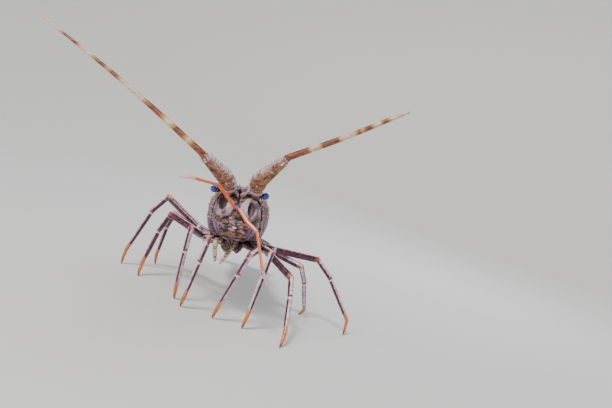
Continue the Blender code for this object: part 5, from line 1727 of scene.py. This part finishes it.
def fan_blade(name, node, root, swing, length, widths, thick, hairs):
    """One leaf of the tail fan, with ribs and a soft hind part."""
    at, way = tail_frames()[6]
    before = tail_frames()[5][1]
    meet = unit(way + before)
    s = radians(swing)
    down = np.array(Matrix.Rotation(-radians(FAN_DROP), 3, "X"))
    onward = down @ np.array([sin(s), cos(s), 0])
    sideways = down @ np.array([cos(s), -sin(s), 0])
    up = np.array([0, -meet[2], meet[1]])
    start = at + meet * 0.3 + np.array([root[0], 0, 0]) + up * root[1]
    t = np.concatenate([np.linspace(0, 0.9, 60), 0.9 + 0.1 * np.sin(np.linspace(0, pi / 2, 26)[1:])])
    width = np.convolve(np.pad(spread(t, widths), 3, "edge"), np.ones(7) / 7, "valid")
    width[-12:] *= np.sqrt(np.clip(1 - (np.linspace(0, 1, 12) ** 2) * 0.85, 0.05, 1))
    columns = 120
    angle = turns(columns)
    c, k = np.cos(angle)[None, :], np.sin(angle)[None, :]
    height = (thick * (1 - 0.55 * t))[:, None]
    across = np.sign(c) * np.abs(c) ** 0.8
    tall = np.sign(k) * np.abs(k) ** 0.8
    ribs = np.maximum(bump_at(across, 0.0, 0.12), bump_at(np.abs(across), 0.45, 0.1))
    ribs = ribs * smooth_step((0.7 - t) / 0.3)[:, None]
    fan = 0.12 * np.sin(across * 34) * smooth_step((t - 0.45) / 0.2)[:, None]
    tall_height = height * tall + np.sign(k) * (0.35 * ribs + fan) * smooth_step((0.96 - t) / 0.08)[:, None]
    droop = up * (-2.2 * t ** 2)[:, None, None] * (0.4 + across[..., None] ** 2)
    path = start + onward * (length * t)[:, None]
    wide = sideways * (width[:, None] * across)[..., None]
    grid = path[:, None] + wide + up * tall_height[..., None] + droop
    soft = smooth_step((t - 0.5) / 0.12)[:, None] + 0 * across
    spot = smooth_step(1.4 - np.hypot(across / 0.3, (t[:, None] - 0.3) / 0.06))
    zero = 0 * soft
    rim = smooth_step((t[:, None] - 0.93) / 0.06) + zero
    marks = {"groove": 0.4 * soft, "rim": rim, "spot": spot, "under": zero}
    piece(name, body_skin("fan_blade", grid, "tail", marks), "tail", node)
    middle = columns // 2
    edges = (0, 1, columns - 1, middle, middle - 1, middle + 1)
    for _ in range(650):
        i = rng.randrange(50, len(t))
        j = rng.choice(edges) if i < len(t) - 2 else rng.randrange(columns)
        out = sideways * np.sign(across[0, j]) * (1.2 - t[i]) + onward * (0.4 + 2 * (t[i] - 0.6))
        hairs.append(body_thorn(grid[i, j], out, rng.uniform(0.7, 1.3), 0.09, 0.0))


def tail():
    thorns, hairs = [], []
    for number in range(6):
        tail_ring(number, thorns, hairs)
    fan_blade("tail_fan_middle", "telson", (0, 3.0), 0, FAN_LENGTH, FAN_MIDDLE_WIDTHS, 1.7, hairs)
    for name, side in SIDES.items():
        for blade, (out, down, swing, longer, widths) in FAN_BLADES.items():
            fan_blade(f"tail_fan_{blade}_{name}", f"fan_{blade}_{name}", (out * side, -down), swing * side,
                      FAN_LENGTH + longer, widths, 1.5, hairs)
    spine_piece("tail_spines", thorns, "tail")
    hair_piece("tail_hair", hairs, "tail")


# Floor, light and camera

def studio():
    """A pale floor that curves up all round, a soft sun, two soft lamps and an even pale sky."""
    flat, bend = 1.2, 2.5
    steps = [radians(a) for a in range(0, 91, 5)]
    profile = [(flat + bend * sin(a), bend * (1 - cos(a))) for a in steps] + [(flat + bend, FLOOR_EDGE)]
    columns = 96
    angle = turns(columns)
    points = [(0.0, 0.0, 0.0)] + [(r * cos(a), r * sin(a), z) for r, z in profile for a in angle]
    faces = [[0, 1 + j, 1 + (j + 1) % columns] for j in range(columns)]
    for i in range(len(profile) - 1):
        for j in range(columns):
            k = (j + 1) % columns
            a, b = 1 + i * columns, 1 + (i + 1) * columns
            faces.append([a + j, b + j, b + k, a + k])
    mesh = bpy.data.meshes.new("floor")
    mesh.from_pydata(points, [], faces)
    mesh.shade_smooth()
    mesh.materials.append(Finish("pale_floor").done((0.74, 0.74, 0.74), 0.8))
    placed("floor", mesh)
    world = bpy.data.worlds.new("sky")
    world.use_nodes = True
    sky = world.node_tree.nodes["Background"].inputs
    sky["Color"].default_value = (0.84, 0.90, 1.0, 1.0)
    sky["Strength"].default_value = 0.3
    bpy.context.scene.world = world
    sun = bpy.data.lights.new("sun", "SUN")
    sun.energy = 2.3
    sun.angle = radians(11)
    sun.color = (1.0, 0.96, 0.90)
    placed("sun", sun).rotation_euler = Vector((0.45, 0.75, -1.15)).to_track_quat("-Z", "Y").to_euler()
    lamp("key", (-0.45, -1.1, 0.9), 0.6, 9, (1.0, 0.96, 0.92))
    lamp("back", (0.6, 1.1, 1.0), 0.8, 9, (0.90, 0.94, 1.0))


def lamp(name, at, size, power, color):
    data = bpy.data.lights.new(name, "AREA")
    data.size = size
    data.energy = power
    data.color = color
    obj = placed(name, data)
    obj.location = at
    obj.rotation_euler = (Vector((0, 0, 0.12)) - Vector(at)).to_track_quat("-Z", "Y").to_euler()


def camera():
    data = bpy.data.cameras.new("camera")
    data.lens = LENS
    data.sensor_width = SENSOR
    data.clip_start = 0.01
    obj = placed("camera", data)
    pitch, roll = radians(CAMERA_PITCH), radians(CAMERA_ROLL)
    ahead = Vector((0, cos(pitch), sin(pitch)))
    level = Vector((1, 0, 0))
    above = level.cross(ahead)
    right = level * cos(roll) + above * sin(roll)
    up = above * cos(roll) - level * sin(roll)
    turn = Matrix((right, up, -ahead)).transposed().to_4x4()
    obj.matrix_world = Matrix.Translation(Vector(stand_to_world(CAMERA_AT))) @ turn
    bpy.context.scene.camera = obj


shell()
shell_thorns()
shell_hair()
horns()
face()
face_thorns()
eyes()
mandibles()
mouth_limbs()
antenna_bases()
antenna_shafts()
feelers()
antennules()
chest()
legs()
tail()
studio()
camera()
